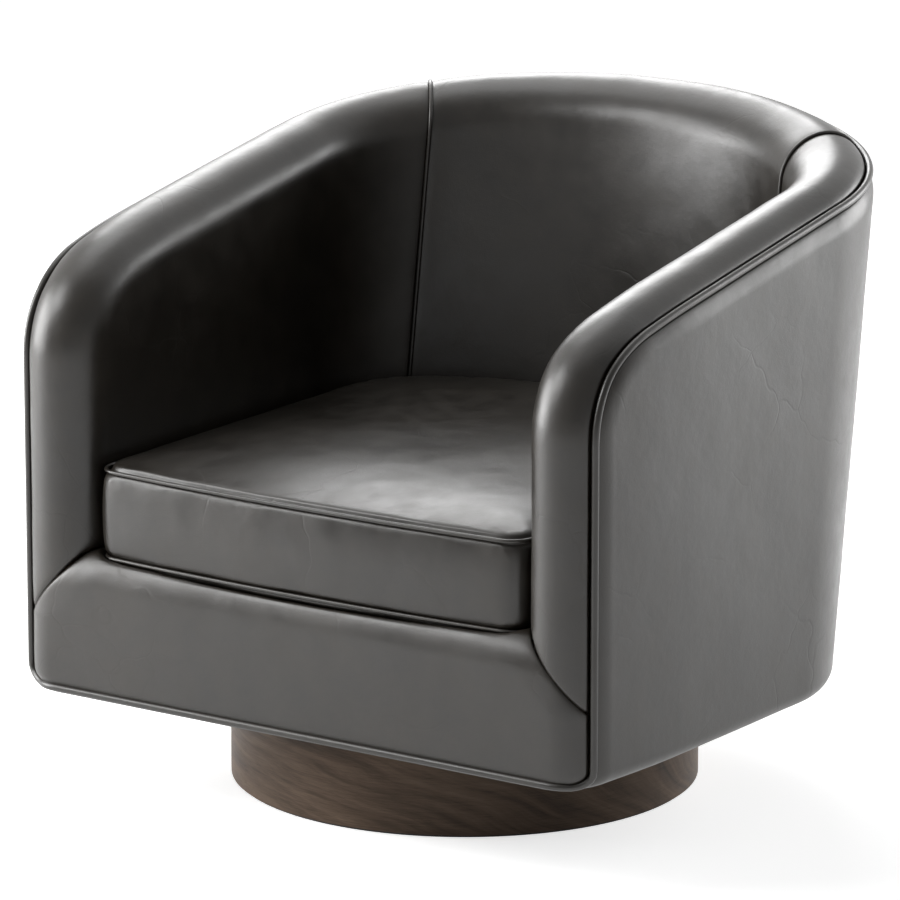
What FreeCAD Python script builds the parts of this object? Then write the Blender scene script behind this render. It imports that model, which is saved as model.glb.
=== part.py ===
import FreeCAD, Part
import math
import os

# Swivel barrel chair, millimetres, +Z up. The origin is on the floor on the swivel axis,
# the chair faces -Y, and the tub is the same on both sides of the YZ plane.

V = FreeCAD.Vector

# Tub wall. Its middle surface is straight in the arms and a leaning half ellipse round the back.
arm_mid_x = 357.0
wall_half = 51.0
arm_front_y = -289.0
arm_corner_radius = 87.0
lean_ref_z = 700.0
back_centre_y = 170.0
back_centre_lean = 0.125
back_depth = 253.0
back_depth_lean = 0.036
crest_z = 633.0
crest_slope = 0.175
shell_bottom_z = 118.5

# Covers, seams and foam
leather = 2.0
layer_gap = 0.3
frame_half = 9.0
welt_angle = 34.0
outer_welt_radius = 4.3
outer_welt_out = 2.3
seam_welt_radius = 3.4
seam_welt_out = 1.6
cord_arcs = 12
seam_angle = 37.5
seam_half_angle = 0.9
foam_seam_half_angle = 0.3
outer_seam_angle = 62.0
outer_seam_half_angle = 0.1
welt_room_angle = 10.5
welt_middle_angle = 5.3
rail_welt_angle = 4.0
seam_welt_start = 2.5
tuck_z = 238.0

# Front rail and seat deck
rail_roll_z = 246.0
rail_back_y = -240.0
seat_z = 273.0
deck_pad = 40.2

# Seat frame and springs
board = 18.0
bottom_board_z = 121.0
board_corner = 60.0
board_set_in = 12.7
board_edge_round = 12.0
dust_margin = 14.0
dust_thickness = 0.8
seat_frame_z = 205.0
seat_opening_x = 235.0
seat_opening_front_y = -205.0
seat_opening_back_y = 175.0
spring_wire = 3.8
spring_count = 5
spring_spacing = 92.0
spring_loop_width = 54.0
spring_loops = 14
spring_hold = 14.0
post_count = 5
post_first_angle = 30.0
top_rail_end_angle = 0.1
post_width = 44.0
top_rail_height = 60.0
cleat_height = 40.0
cleat_back_y = 60.0
seat_screw_front_y = -225.0
seat_screw_spacing = 85.0
seat_screw_count = 4
clip_height = 7.2
clip_base = 1.2
clip_depth = 12.0
clip_width = 22.0
block_leg = 60.0
block_height = 45.0
block_front_y = -150.0
block_spacing = 150.0
front_board_set_back = 4.0

# Seat cushion
cushion_gap = 0.4
cushion_front_y = -333.0
cushion_front_bow = 12.0
cushion_corner_radius = 28.0
cushion_lower_seam_z = 283.0
cushion_upper_seam_z = 386.0
cushion_crown = 17.0
cushion_crown_reach = 150.0
cushion_bulge = 5.0
cushion_welt_radius = 2.6
zip_angle = 48.0
zip_width = 28.0
zip_thickness = 1.2

# Base drum
drum_radius = 274.5
drum_top_z = 104.0
drum_wall = 14.0
drum_floor = 12.0
felt = 3.0
felt_margin = 4.0
brace_thickness = 18.0
brace_end_gap = 12.0
drum_block_count = 8
drum_block_leg = 26.0
drum_block_length = 40.0
drum_block_set_in = 4.0

# Swivel bearing
plate = 3.0
plate_radius = 150.0
ball_radius = 5.2
ball_ring_radius = 118.0
ball_count = 24
cage_thickness = 1.6
cage_half_width = 10.0
ball_clear = 0.3
race_rib = 3.0
race_rib_height = 3.5
pin_radius = 11.0
pin_clear = 0.3
pin_head_radius = 19.0
pin_head = 2.5
bolt_radius = 4.0
bolt_head_radius = 8.0
bolt_head = 4.0
bolt_circle = 62.0
nut_radius = 7.4
nut_height = 6.0
bolt_count = 4
screw_radius = 2.2
screw_head_radius = 4.4
screw_head = 2.6
screw_length = 42.0
hole_clear = 0.15
upper_bolt_turn = 45.0
cut_reach = 500.0

crest_angle = math.degrees(math.atan(crest_slope))
corner_end = 90.0 + crest_angle
corner_y = arm_front_y + arm_corner_radius
corner_end_y = corner_y + arm_corner_radius * math.cos(math.radians(corner_end))
corner_end_z = crest_z + crest_slope * corner_end_y
corner_z = corner_end_z - arm_corner_radius * math.sin(math.radians(corner_end))
leather_in = wall_half - leather
foam_out = leather_in - layer_gap
foam_in = frame_half + layer_gap
board_top_z = bottom_board_z + board
drum_inner_radius = drum_radius - drum_wall
front_board_y = arm_front_y + front_board_set_back
cushion_off = -wall_half - seam_welt_out - seam_welt_radius - cushion_gap
cushion_seam_inset = 2.0 * cushion_welt_radius + layer_gap
plate_mid_z = (drum_top_z + bottom_board_z) / 2.0


def arc_poles(start, end):
    """Poles of a unit arc from one angle to another, as one cubic."""
    a, b = math.radians(start), math.radians(end)
    k = 4.0 / 3.0 * math.tan((b - a) / 4.0)
    first, last = (math.cos(a), math.sin(a)), (math.cos(b), math.sin(b))
    return [first,
            (first[0] - k * first[1], first[1] + k * first[0]),
            (last[0] + k * last[1], last[1] - k * last[0]),
            last]


def line_poles(start, end):
    return [start + (end - start) * (i / 3.0) for i in range(4)]


def wall_point(angle, off, z):
    """A point of the back at an ellipse angle, an offset from the middle surface and a height."""
    drop = lean_ref_z - z
    centre = back_centre_y - back_centre_lean * drop
    depth = back_depth - back_depth_lean * drop
    a = math.radians(angle)
    return V((arm_mid_x + off) * math.cos(a), centre + (depth + off) * math.sin(a), z)


def edge_z(angle):
    """Height of the roll's centre line, which lies on the sloping crest plane."""
    s = math.sin(math.radians(angle))
    drop = lean_ref_z - crest_z
    level = back_centre_y - back_centre_lean * drop + (back_depth - back_depth_lean * drop) * s
    y = level / (1.0 - (back_centre_lean + back_depth_lean * s) * crest_slope)
    return crest_z + crest_slope * y


def bend_poles(point, start, end):
    """Poles of one cubic along a smooth function of the ellipse angle."""
    step = 0.01
    k = 4.0 / 3.0 * math.tan(math.radians(end - start) / 4.0) / math.radians(step)
    first, last = point(start), point(end)
    return [first, first + (point(start + step) - first) * k,
            last - (last - point(end - step)) * k, last]


# Each run gives the poles of a line along the wall's edge, at an offset across the wall and
# a height above the roll's centre line.

def run_front(bottom):
    def poles(off, rise):
        x, y = arm_mid_x + off, arm_front_y - rise
        return line_poles(V(x, y, bottom), V(x, y, corner_z))
    return poles


def run_corner(off, rise):
    radius = arm_corner_radius + rise
    return [V(arm_mid_x + off, corner_y + radius * c, corner_z + radius * s)
            for c, s in arc_poles(180.0, corner_end)]


def run_slope(off, rise):
    return line_poles(run_corner(off, rise)[3], wall_point(0.0, off, edge_z(0.0) + rise))


def run_bend(start, end):
    def poles(off, rise):
        return bend_poles(lambda t: wall_point(t, off, edge_z(t) + rise), start, end)
    return poles


def level_bend(off, z, start, end):
    return bend_poles(lambda t: wall_point(t, off, z), start, end)


def flipped(poles):
    """The same line on the other side of the chair, run the other way."""
    return [V(-p.x, p.y, p.z) for p in reversed(poles)]


def net_face(rows):
    """A face from rows of four poles: four rows make a cubic, two make a ruled face."""
    across = len(rows) - 1
    surface = Part.BSplineSurface()
    surface.buildFromPolesMultsKnots(rows, [across + 1] * 2, [4, 4], [0.0, 1.0], [0.0, 1.0],
                                     False, False, across, 3)
    return surface.toShape()


def curve_edge(poles):
    curve = Part.BezierCurve()
    curve.setPoles(poles)
    return curve.toShape()


def flat_face(loop):
    return Part.Face(Part.Wire([curve_edge(poles) for poles in loop]))


def solid_of(faces):
    sewn = Part.makeCompound(faces)
    sewn.sewShape(0.01)
    solid = Part.makeSolid(sewn.Shells[0])
    if solid.Volume < 0:
        solid.reverse()
    return solid


def layer(faces, outline, outer, inner):
    """The closed solid between one piece of surface at two offsets."""
    rim = [net_face([a, b]) for a, b in zip(outline(outer), outline(inner))]
    return solid_of(faces(outer) + faces(inner) + rim)


def roll_faces(runs, radius, start, end):
    """The round edge of the wall between two angles, which are 0 outside and 180 inside."""
    middle = (start + end) / 2.0
    faces = []
    for run in runs:
        for a, b in ((start, middle), (middle, end)):
            faces.append(net_face([run(radius * c, radius * s) for c, s in arc_poles(a, b)]))
    return faces


def roll_line(runs, radius, angle):
    a = math.radians(angle)
    return [run(radius * math.cos(a), radius * math.sin(a)) for run in runs]


def roll_end(run, end, radius, start, stop):
    middle = (start + stop) / 2.0
    return [[run(radius * c, radius * s)[end] for c, s in arc_poles(a, b)]
            for a, b in ((start, middle), (middle, stop))]


def arm_flank(off, bottom, stop):
    """Loops and faces of an arm's flat side and the bent side behind it, as far as an angle."""
    runs = [run_front(bottom), run_corner, run_slope]
    heel = wall_point(0.0, off, bottom)
    joint = line_poles(wall_point(0.0, off, edge_z(0.0)), heel)
    foot = line_poles(heel, V(arm_mid_x + off, arm_front_y, bottom))
    top = run_bend(0.0, stop)(off, 0.0)
    low = level_bend(off, bottom, 0.0, stop)
    faces = [flat_face([run(off, 0.0) for run in runs] + [joint, foot]), net_face([top, low])]
    return faces, [foot, low, line_poles(top[3], low[3])]


def arm_layer(outer, inner, start, stop, seam, bottom):
    """A layer of the right arm from one roll angle to another, with the flanks that it reaches."""
    runs = [run_front(bottom), run_corner, run_slope, run_bend(0.0, seam)]

    def sides(radius):
        return [radius] * (start == 0.0) + [-radius] * (stop == 180.0)

    def faces(radius):
        made = roll_faces(runs, radius, start, stop)
        for off in sides(radius):
            made += arm_flank(off, bottom, seam)[0]
        return made

    def outline(radius):
        loop = roll_end(runs[0], 0, radius, start, stop) + roll_end(runs[3], 3, radius, start, stop)
        for off in sides(radius):
            loop += arm_flank(off, bottom, seam)[1]
        if start > 0.0:
            loop += roll_line(runs, radius, start)
        if stop < 180.0:
            loop += roll_line(runs, radius, stop)
        return loop

    return layer(faces, outline, outer, inner)


def back_layer(outer, inner, start, stop, seam, bottom_out, bottom_in):
    """A layer of the back between the seams on both sides."""
    spans = [(seam, 90.0), (90.0, 180.0 - seam)]
    runs = [run_bend(a, b) for a, b in spans]

    def sides(radius):
        return [(radius, bottom_out)] * (start == 0.0) + [(-radius, bottom_in)] * (stop == 180.0)

    def flank(off, bottom):
        return [(run(off, 0.0), level_bend(off, bottom, a, b)) for run, (a, b) in zip(runs, spans)]

    def faces(radius):
        made = roll_faces(runs, radius, start, stop)
        for off, bottom in sides(radius):
            made += [net_face([top, low]) for top, low in flank(off, bottom)]
        return made

    def outline(radius):
        loop = roll_end(runs[0], 0, radius, start, stop) + roll_end(runs[1], 3, radius, start, stop)
        for off, bottom in sides(radius):
            (top_a, low_a), (top_b, low_b) = flank(off, bottom)
            loop += [low_a, low_b, line_poles(top_a[0], low_a[0]), line_poles(top_b[3], low_b[3])]
        if start > 0.0:
            loop += roll_line(runs, radius, start)
        if stop < 180.0:
            loop += roll_line(runs, radius, stop)
        return loop

    return layer(faces, outline, outer, inner)


def tube(pieces, radius, closed=False):
    """A round cord along pieces that give its poles at an offset from its centre line."""
    step = 360.0 / cord_arcs
    rings = [[(radius * c, radius * s) for c, s in arc_poles(step * q, step * q + step)]
             for q in range(cord_arcs)]
    faces = [net_face([piece(u, v) for u, v in ring]) for piece in pieces for ring in rings]
    ends = [] if closed else [(pieces[0], 0), (pieces[-1], 3)]
    for piece, end in ends:
        faces.append(flat_face([[piece(u, v)[end] for u, v in ring] for ring in rings]))
    return solid_of(faces)


def plan_wire(off, z, front_y, corner=0.0):
    """The tub's outline in plan at an offset, closed by a straight front with round corners."""
    x = arm_mid_x + off
    right = level_bend(off, z, 0.0, 90.0)
    left = flipped(right)
    k = corner * (1.0 - math.sqrt(0.5))
    edges = [curve_edge(right), curve_edge(left),
             Part.makeLine(left[3], V(-x, front_y + corner, z))]
    if corner > 0.0:
        edges.append(Part.Arc(V(-x, front_y + corner, z), V(-x + k, front_y + k, z),
                              V(-x + corner, front_y, z)).toShape())
    edges.append(Part.makeLine(V(-x + corner, front_y, z), V(x - corner, front_y, z)))
    if corner > 0.0:
        edges.append(Part.Arc(V(x - corner, front_y, z), V(x - k, front_y + k, z),
                              V(x, front_y + corner, z)).toShape())
    edges.append(Part.makeLine(V(x, front_y + corner, z), right[0]))
    return Part.Wire(edges)


def plan_slab(off, bottom, top, front_y, corner=0.0, edge_round=0.0):
    """A flat piece with the tub's outline, whose edge follows the lean of the back.

    Its lower edge may be rounded, in short flats.
    """
    wires = []
    for angle in (90.0, 65.0, 40.0, 15.0) if edge_round else ():
        a = math.radians(angle)
        inset = edge_round * (1.0 - math.cos(a))
        z = bottom + edge_round * (1.0 - math.sin(a))
        wires.append(plan_wire(off - inset, z, front_y + inset, corner - inset))
    if not edge_round:
        wires.append(plan_wire(off, bottom, front_y, corner))
    wires.append(plan_wire(off, top, front_y, corner))
    return Part.makeLoft(wires, True, True)


def prism_y(points, y0, y1):
    """A prism along Y from an outline of (x, z) points."""
    wire = Part.makePolygon([V(x, y0, z) for x, z in points + points[:1]])
    return Part.Face(wire).extrude(V(0, y1 - y0, 0))


def box(x0, x1, y0, y1, z0, z1):
    return Part.makeBox(x1 - x0, y1 - y0, z1 - z0, V(x0, y0, z0))


def mirrored(shape):
    return shape.mirror(V(0, 0, 0), V(1, 0, 0))


def ring_of(shape, count, first=0.0):
    """Copies of a shape turned evenly about the swivel axis."""
    copies = []
    for i in range(count):
        turned = shape.copy()
        turned.rotate(V(0, 0, 0), V(0, 0, 1), first + 360.0 * i / count)
        copies.append(turned)
    return copies


def rail_space(gap):
    """The room of the front rail in an arm, under the mitre and the seat."""
    reach = 100.0
    mitre = arm_mid_x + rail_roll_z
    top = seat_z + gap
    edge = arm_mid_x + reach
    points = [(0.0, top), (mitre - seat_z, top), (edge, mitre + gap - edge),
              (edge, 0.0), (0.0, 0.0)]
    return prism_y(points, arm_front_y - wall_half - reach, rail_back_y)


def under_seat(z):
    """Everything inside the wall's middle surface and below a height."""
    return plan_slab(0.0, shell_bottom_z - board, z, arm_front_y - 2.0 * wall_half)


def arm_cover():
    cover = arm_layer(wall_half, leather_in, welt_angle, 180.0, seam_angle - seam_half_angle,
                      shell_bottom_z)
    return cover.cut(rail_space(layer_gap)).cut(under_seat(tuck_z))


def arm_foam():
    low = board_top_z + layer_gap
    foam = arm_layer(foam_out, foam_in, 0.0, 180.0, seam_angle - foam_seam_half_angle, low)
    under_mitre = rail_space(layer_gap).common(
        box(0, arm_mid_x + layer_gap, -cut_reach, 0, 0, cut_reach))
    return foam.cut(under_mitre).cut(under_seat(tuck_z))


def side_cover():
    return arm_layer(wall_half, leather_in, 0.0, welt_angle - welt_room_angle,
                     outer_seam_angle - outer_seam_half_angle, shell_bottom_z)


def outer_back_cover():
    return back_layer(wall_half, leather_in, 0.0, welt_angle - welt_room_angle,
                      outer_seam_angle + outer_seam_half_angle, shell_bottom_z, 0.0)


def back_cover():
    return back_layer(wall_half, leather_in, welt_angle, 180.0, seam_angle + seam_half_angle,
                      0.0, tuck_z)


def back_foam():
    low = board_top_z + layer_gap
    return back_layer(foam_out, foam_in, 0.0, 180.0, seam_angle + foam_seam_half_angle, low,
                      tuck_z)


def outer_welt():
    """The cord that runs up both arm fronts and round the crest."""
    radius = wall_half + outer_welt_out
    a = math.radians(welt_angle - welt_middle_angle)
    off, rise = radius * math.cos(a), radius * math.sin(a)
    runs = [run_front(shell_bottom_z), run_corner, run_slope, run_bend(0.0, 45.0),
            run_bend(45.0, 90.0)]
    right = [lambda u, v, run=run: run(off + u, rise + v) for run in runs]
    left = [lambda u, v, run=run: flipped(run(u, v)) for run in reversed(right)]
    return tube(right + left, outer_welt_radius)


def seam_welt():
    """The cord in the seam between the right arm and the back, over the roll and down inside."""
    radius = wall_half + seam_welt_out
    a = math.radians(seam_angle)
    side = V(-math.sin(a), math.cos(a), 0)
    crest = edge_z(seam_angle)

    def over(start, end):
        def poles(u, v):
            return [wall_point(seam_angle, (radius + u) * c, crest + (radius + u) * s) + side * v
                    for c, s in arc_poles(start, end)]
        return poles

    def down(u, v):
        off = -(radius + u)
        return line_poles(wall_point(seam_angle, off, crest) + side * v,
                          wall_point(seam_angle, off, seat_z + 1.0) + side * v)

    return tube([over(welt_angle + seam_welt_start, 105.0), over(105.0, 180.0), down], seam_welt_radius)


def rail_section(depth, back_y, bottom):
    """Outline of the front rail in YZ, at a depth under its leather."""
    radius = wall_half - depth
    top = seat_z - depth
    angle = math.asin((top - rail_roll_z) / radius)
    front = V(0, arm_front_y - radius, rail_roll_z)
    crest = V(0, arm_front_y - radius * math.cos(angle), top)
    middle = V(0, arm_front_y - radius * math.cos(angle / 2.0),
               rail_roll_z + radius * math.sin(angle / 2.0))
    foot, heel = V(0, front.y, bottom), V(0, back_y, bottom)
    head = V(0, back_y, top)
    return Part.Face(Part.Wire([Part.makeLine(foot, front), Part.Arc(front, middle, crest).toShape(),
                                Part.makeLine(crest, head), Part.makeLine(head, heel),
                                Part.makeLine(heel, foot)]))


def rail_block(depth, half_length, back_y, bottom):
    section = rail_section(depth, back_y, bottom)
    section.translate(V(-half_length, 0, 0))
    return section.extrude(V(2.0 * half_length, 0, 0))


def corner_post(radius, bottom, top):
    return Part.makeCylinder(radius, top - bottom, V(arm_mid_x, arm_front_y, bottom))


def mitred(shape):
    """A rail piece cut by the mitre at both arms."""
    mitre = arm_mid_x + rail_roll_z
    for side in (1.0, -1.0):
        far = side * mitre
        cutter = prism_y([(side * (mitre - cut_reach), cut_reach), (far, 0.0), (far, cut_reach)],
                         -cut_reach, 0.0)
        shape = shape.cut(cutter)
    return shape


def rail_cover():
    low = shell_bottom_z + 2.0 * outer_welt_radius + layer_gap
    top = seat_z + 1.0
    outside = rail_block(0.0, arm_mid_x, rail_back_y, low)
    outside = outside.cut(box(-cut_reach, cut_reach, arm_front_y, cut_reach, low - 1.0,
                             seat_z - leather))
    inside = rail_block(leather, arm_mid_x + 1.0, rail_back_y + 1.0, low - 1.0)
    front = outside.cut(inside)
    a = math.radians(welt_angle)
    reach = 2.0 * wall_half
    wedge = Part.Face(Part.makePolygon([
        V(arm_mid_x, arm_front_y, low), V(arm_mid_x, arm_front_y - reach, low),
        V(arm_mid_x + reach, arm_front_y - reach, low),
        V(arm_mid_x + reach * math.cos(a), arm_front_y - reach * math.sin(a), low),
        V(arm_mid_x, arm_front_y, low)])).extrude(V(0, 0, top - low))
    bend = corner_post(wall_half, low, top).cut(corner_post(leather_in, low - 1.0, top + 1.0))
    bend = bend.common(wedge)
    return mitred(front.fuse([bend, mirrored(bend)]).removeSplitter())


def rail_foam():
    block = rail_block(leather + layer_gap, arm_mid_x, rail_back_y, board_top_z + layer_gap)
    x = arm_mid_x - frame_half - layer_gap
    arm = box(x, cut_reach, arm_front_y - layer_gap, 0, 0, cut_reach)
    frame = box(-cut_reach, cut_reach, front_board_y - layer_gap, 0, 0,
                seat_frame_z + board + layer_gap)
    return mitred(block).cut(arm).cut(mirrored(arm)).cut(frame)


def rail_welt():
    """The cord along the bottom edge of the front rail and round its corners."""
    z = shell_bottom_z + outer_welt_radius
    middle = wall_half - outer_welt_radius

    def corner(u, v):
        radius = middle + u
        return [V(arm_mid_x + radius * c, arm_front_y + radius * s, z + v)
                for c, s in arc_poles(-(welt_angle + rail_welt_angle), -90.0)]

    def straight(u, v):
        y = arm_front_y - middle - u
        return line_poles(V(arm_mid_x, y, z + v), V(-arm_mid_x, y, z + v))

    return tube([corner, straight, lambda u, v: flipped(corner(u, v))], outer_welt_radius)


def arm_panel():
    """The upright plywood panel in the middle of an arm."""
    heel = wall_point(0.0, 0.0, board_top_z)
    head = wall_point(0.0, 0.0, edge_z(0.0))
    x = arm_mid_x - frame_half
    shift = V(-frame_half, 0, 0)
    loop = [[p + shift for p in run(0.0, 0.0)]
            for run in (run_front(board_top_z), run_corner, run_slope)]
    loop += [line_poles(V(x, head.y, head.z), V(x, heel.y, heel.z)),
             line_poles(V(x, heel.y, heel.z), V(x, arm_front_y, board_top_z))]
    return flat_face(loop).extrude(V(2.0 * frame_half, 0, 0))


def top_rail():
    """The bent plywood rail round the top of the back, from arm panel to arm panel."""
    first = top_rail_end_angle
    spans = [(first, 90.0), (90.0, 180.0 - first)]

    def curves(off, rise):
        return [run_bend(a, b)(off, rise) for a, b in spans]

    def faces(off):
        return [net_face(list(rows)) for rows in zip(curves(off, 0.0), curves(off, -top_rail_height))]

    def outline(off):
        top, low = curves(off, 0.0), curves(off, -top_rail_height)
        return top + low + [line_poles(top[0][0], low[0][0]), line_poles(top[1][3], low[1][3])]

    return layer(faces, outline, frame_half, -frame_half)


def back_posts():
    """Leaning posts from the bottom board to the top rail."""
    posts = []
    for i in range(post_count):
        angle = post_first_angle + (180.0 - 2.0 * post_first_angle) * i / (post_count - 1)
        reach = post_width / (wall_point(angle + 0.5, 0.0, crest_z) - wall_point(
            angle - 0.5, 0.0, crest_z)).Length / 2.0
        sides = (angle - reach, angle + reach)

        def rows(off, sides=sides):
            top = [wall_point(t, off, edge_z(t) - top_rail_height - layer_gap) for t in sides]
            low = [wall_point(t, off, board_top_z) for t in sides]
            return line_poles(*top), line_poles(*low)

        def faces(off, rows=rows):
            return [net_face(list(rows(off)))]

        def outline(off, rows=rows):
            top, low = rows(off)
            return [top, low, line_poles(top[0], low[0]), line_poles(top[3], low[3])]

        posts.append(layer(faces, outline, frame_half - 1.0, 1.0 - frame_half))
    return posts


def front_board():
    x = arm_mid_x - frame_half
    return box(-x, x, front_board_y, front_board_y + board, board_top_z, seat_frame_z)


def seat_screw_places():
    x = arm_mid_x - frame_half - board / 2.0
    return [(side * x, seat_screw_front_y + seat_screw_spacing * i)
            for side in (1.0, -1.0) for i in range(seat_screw_count)]


def seat_screw_holes():
    bottom = seat_frame_z + board - screw_length
    return Part.makeCompound([Part.makeCylinder(screw_radius + hole_clear, screw_length + 1.0,
                                                V(x, y, bottom - 0.5)) for x, y in seat_screw_places()])


def seat_screws():
    """Wood screws down through the seat frame into the cleats."""
    top = seat_frame_z + board
    screws = []
    for x, y in seat_screw_places():
        shank = Part.makeCylinder(screw_radius, screw_length, V(x, y, top - screw_length))
        head = Part.makeCone(screw_head_radius, screw_radius, screw_head, V(x, y, top))
        screws.append(shank.fuse(head).removeSplitter())
    return screws


def seat_frame():
    """The flat plywood ring that carries the springs, on the cleats and the front board."""
    x = arm_mid_x - frame_half
    ring = plan_slab(-frame_half, seat_frame_z, seat_frame_z + board, front_board_y)
    ring = ring.common(box(-x, x, -cut_reach, cut_reach, 0, cut_reach))
    opening = box(-seat_opening_x, seat_opening_x, seat_opening_front_y, seat_opening_back_y, 0,
                  cut_reach)
    return ring.cut(opening).cut(seat_screw_holes())


def arm_cleats():
    x = arm_mid_x - frame_half
    right = box(x - board, x, front_board_y + board + layer_gap, cleat_back_y,
                seat_frame_z - cleat_height, seat_frame_z)
    return [cleat.cut(seat_screw_holes()) for cleat in (right, mirrored(right))]


def corner_blocks():
    """Triangular glue blocks between the bottom board and the arm panels."""
    x = arm_mid_x - frame_half
    blocks = []
    for y in (block_front_y, block_front_y + block_spacing):
        block = prism_y([(x, board_top_z), (x - block_leg, board_top_z), (x, board_top_z + block_leg)],
                        y - block_height / 2.0, y + block_height / 2.0)
        cleat = box(x - board, x, -cut_reach, cut_reach, seat_frame_z - cleat_height, cut_reach)
        block = block.cut(cleat)
        blocks += [block, mirrored(block)]
    return blocks


def spring_path(x, z):
    """One zigzag spring: straight bars joined by half rings, from front to back."""
    start, end = seat_opening_front_y - spring_hold, seat_opening_back_y + spring_hold
    pitch = (end - start) / spring_loops
    bend = pitch / 2.0
    half = spring_loop_width / 2.0 - bend
    edges = []
    side = 1.0
    for i in range(spring_loops):
        y0, y1 = start + i * pitch, start + (i + 1) * pitch
        edges.append(Part.makeLine(V(x - side * half, y0, z), V(x + side * half, y0, z)))
        edges.append(Part.Arc(V(x + side * half, y0, z), V(x + side * (half + bend), y0 + bend, z),
                              V(x + side * half, y1, z)).toShape())
        side = -side
    edges.append(Part.makeLine(V(x - side * half, end, z), V(x + side * half, end, z)))
    return Part.Wire(edges)


def spring_places():
    return [spring_spacing * (i - (spring_count - 1) / 2.0) for i in range(spring_count)]


def spring_z():
    return seat_frame_z + board + clip_base + spring_wire / 2.0


def seat_springs():
    springs = []
    for x in spring_places():
        path = spring_path(x, spring_z())
        start = path.Vertexes[0].Point
        ring = Part.Wire([Part.makeCircle(spring_wire / 2.0, start, V(1, 0, 0))])
        springs.append(path.makePipeShell([ring], True, False))
    return springs


def spring_clips():
    """Folded steel clips, each a low block with a bore for the end bar of a spring."""
    base = seat_frame_z + board
    clips = []
    for x in spring_places():
        for y in (seat_opening_front_y - spring_hold, seat_opening_back_y + spring_hold):
            clip = box(x - clip_width / 2.0, x + clip_width / 2.0, y - clip_depth / 2.0,
                       y + clip_depth / 2.0, base, base + clip_height)
            bore = Part.makeCylinder(spring_wire / 2.0 + hole_clear, clip_width + 2.0,
                                     V(x - clip_width / 2.0 - 1.0, y, spring_z()), V(1, 0, 0))
            clips.append(clip.cut(bore))
    return clips


def deck_top():
    return seat_z - leather


def deck_pad_piece():
    off = -wall_half - layer_gap
    front = rail_back_y + layer_gap
    top = deck_top() - layer_gap
    return plan_slab(off, top - deck_pad, top, front)


def deck_cover():
    return plan_slab(-wall_half - layer_gap, deck_top(), seat_z, rail_back_y + layer_gap)


def board_front_y():
    """Front edge of the bottom board, which leaves room for the welt along the rail."""
    return arm_front_y - wall_half + 2.0 * outer_welt_radius + layer_gap


def bottom_board():
    slab = plan_slab(foam_out - board_set_in, bottom_board_z, board_top_z, board_front_y(),
                     board_corner, board_edge_round)
    hole = Part.makeCylinder(pin_head_radius + 5.0, 2 * board, V(0, 0, bottom_board_z - 1.0))
    return slab.cut(hole).cut(bolt_holes(bolt_radius + hole_clear, upper_bolt_turn))


def dust_cover():
    """The black cloth stapled under the bottom board, open round the swivel plate."""
    top = bottom_board_z
    slab = plan_slab(foam_out - board_set_in - dust_margin, top - dust_thickness, top,
                     board_front_y() + dust_margin, board_corner)
    return slab.cut(Part.makeCylinder(plate_radius + 1.0, 20.0, V(0, 0, top - 10.0)))


def cushion_runs(inset, z):
    """The cushion's outline as eight lines, from the right corner of the back all the way round."""
    off = cushion_off - inset
    x = arm_mid_x + off
    front = cushion_front_y + inset
    bow = (x * x + cushion_front_bow ** 2) / (2.0 * cushion_front_bow)
    radius = cushion_corner_radius
    centre_y = front + bow - math.sqrt((bow - radius) ** 2 - (x - radius) ** 2)
    turn = math.degrees(math.atan2(centre_y - front - bow, x - radius))
    bend = level_bend(off, z, 0.0, 90.0)
    half_bow = [V(bow * c, front + bow + bow * s, z) for c, s in arc_poles(-90.0, turn)]
    corner = [V(x - radius + radius * c, centre_y + radius * s, z) for c, s in arc_poles(turn, 0.0)]
    side = line_poles(corner[3], bend[0])
    right = [half_bow, corner, side, bend]
    return right + [flipped(poles) for poles in reversed(right)]


def cushion_band(levels):
    """Faces all round the cushion, through the outlines at four levels."""
    rings = [cushion_runs(inset, z) for inset, z in levels]
    return [net_face(list(rows)) for rows in zip(*rings)]


def crown_levels(depth):
    low, high = cushion_upper_seam_z, cushion_upper_seam_z + cushion_crown - depth
    rise = high - low
    return [(cushion_seam_inset + depth, low), (cushion_seam_inset + 8.0 + depth, low + 0.75 * rise),
            (0.45 * cushion_crown_reach + depth, high), (cushion_crown_reach + depth, high)]


def border_levels(depth):
    low, high = cushion_lower_seam_z, cushion_upper_seam_z
    third = (high - low) / 3.0
    seam = cushion_seam_inset + depth
    return [(seam, low), (seam - cushion_bulge, low + third),
            (seam - cushion_bulge, high - third), (seam, high)]


def base_levels(depth):
    low, high = seat_z + layer_gap + depth, cushion_lower_seam_z
    seam = cushion_seam_inset + depth
    return [(seam, high), (seam + 1.0, high - 0.5 * (high - low)), (seam + 5.0, low),
            (seam + 16.0, low)]


def crown_faces(depth):
    return cushion_band(crown_levels(depth)) + [flat_face(cushion_runs(*crown_levels(depth)[3]))]


def border_faces(depth):
    return cushion_band(border_levels(depth))


def base_faces(depth):
    return cushion_band(base_levels(depth)) + [flat_face(cushion_runs(*base_levels(depth)[3]))]


def cushion_top():
    return layer(crown_faces, lambda d: cushion_runs(*crown_levels(d)[0]), 0.0, leather)


def cushion_border():
    def outline(depth):
        return cushion_runs(*border_levels(depth)[0]) + cushion_runs(*border_levels(depth)[3])
    return layer(border_faces, outline, 0.0, leather)


def cushion_bottom():
    return layer(base_faces, lambda d: cushion_runs(*base_levels(d)[0]), 0.0, leather)


def cushion_core():
    depth = leather + layer_gap
    return solid_of(crown_faces(depth) + border_faces(depth) + base_faces(depth))


def cushion_welt(z):
    pieces = [lambda u, v, i=i: cushion_runs(cushion_welt_radius - u, z + v)[i] for i in range(8)]
    return tube(pieces, cushion_welt_radius, True)


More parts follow.
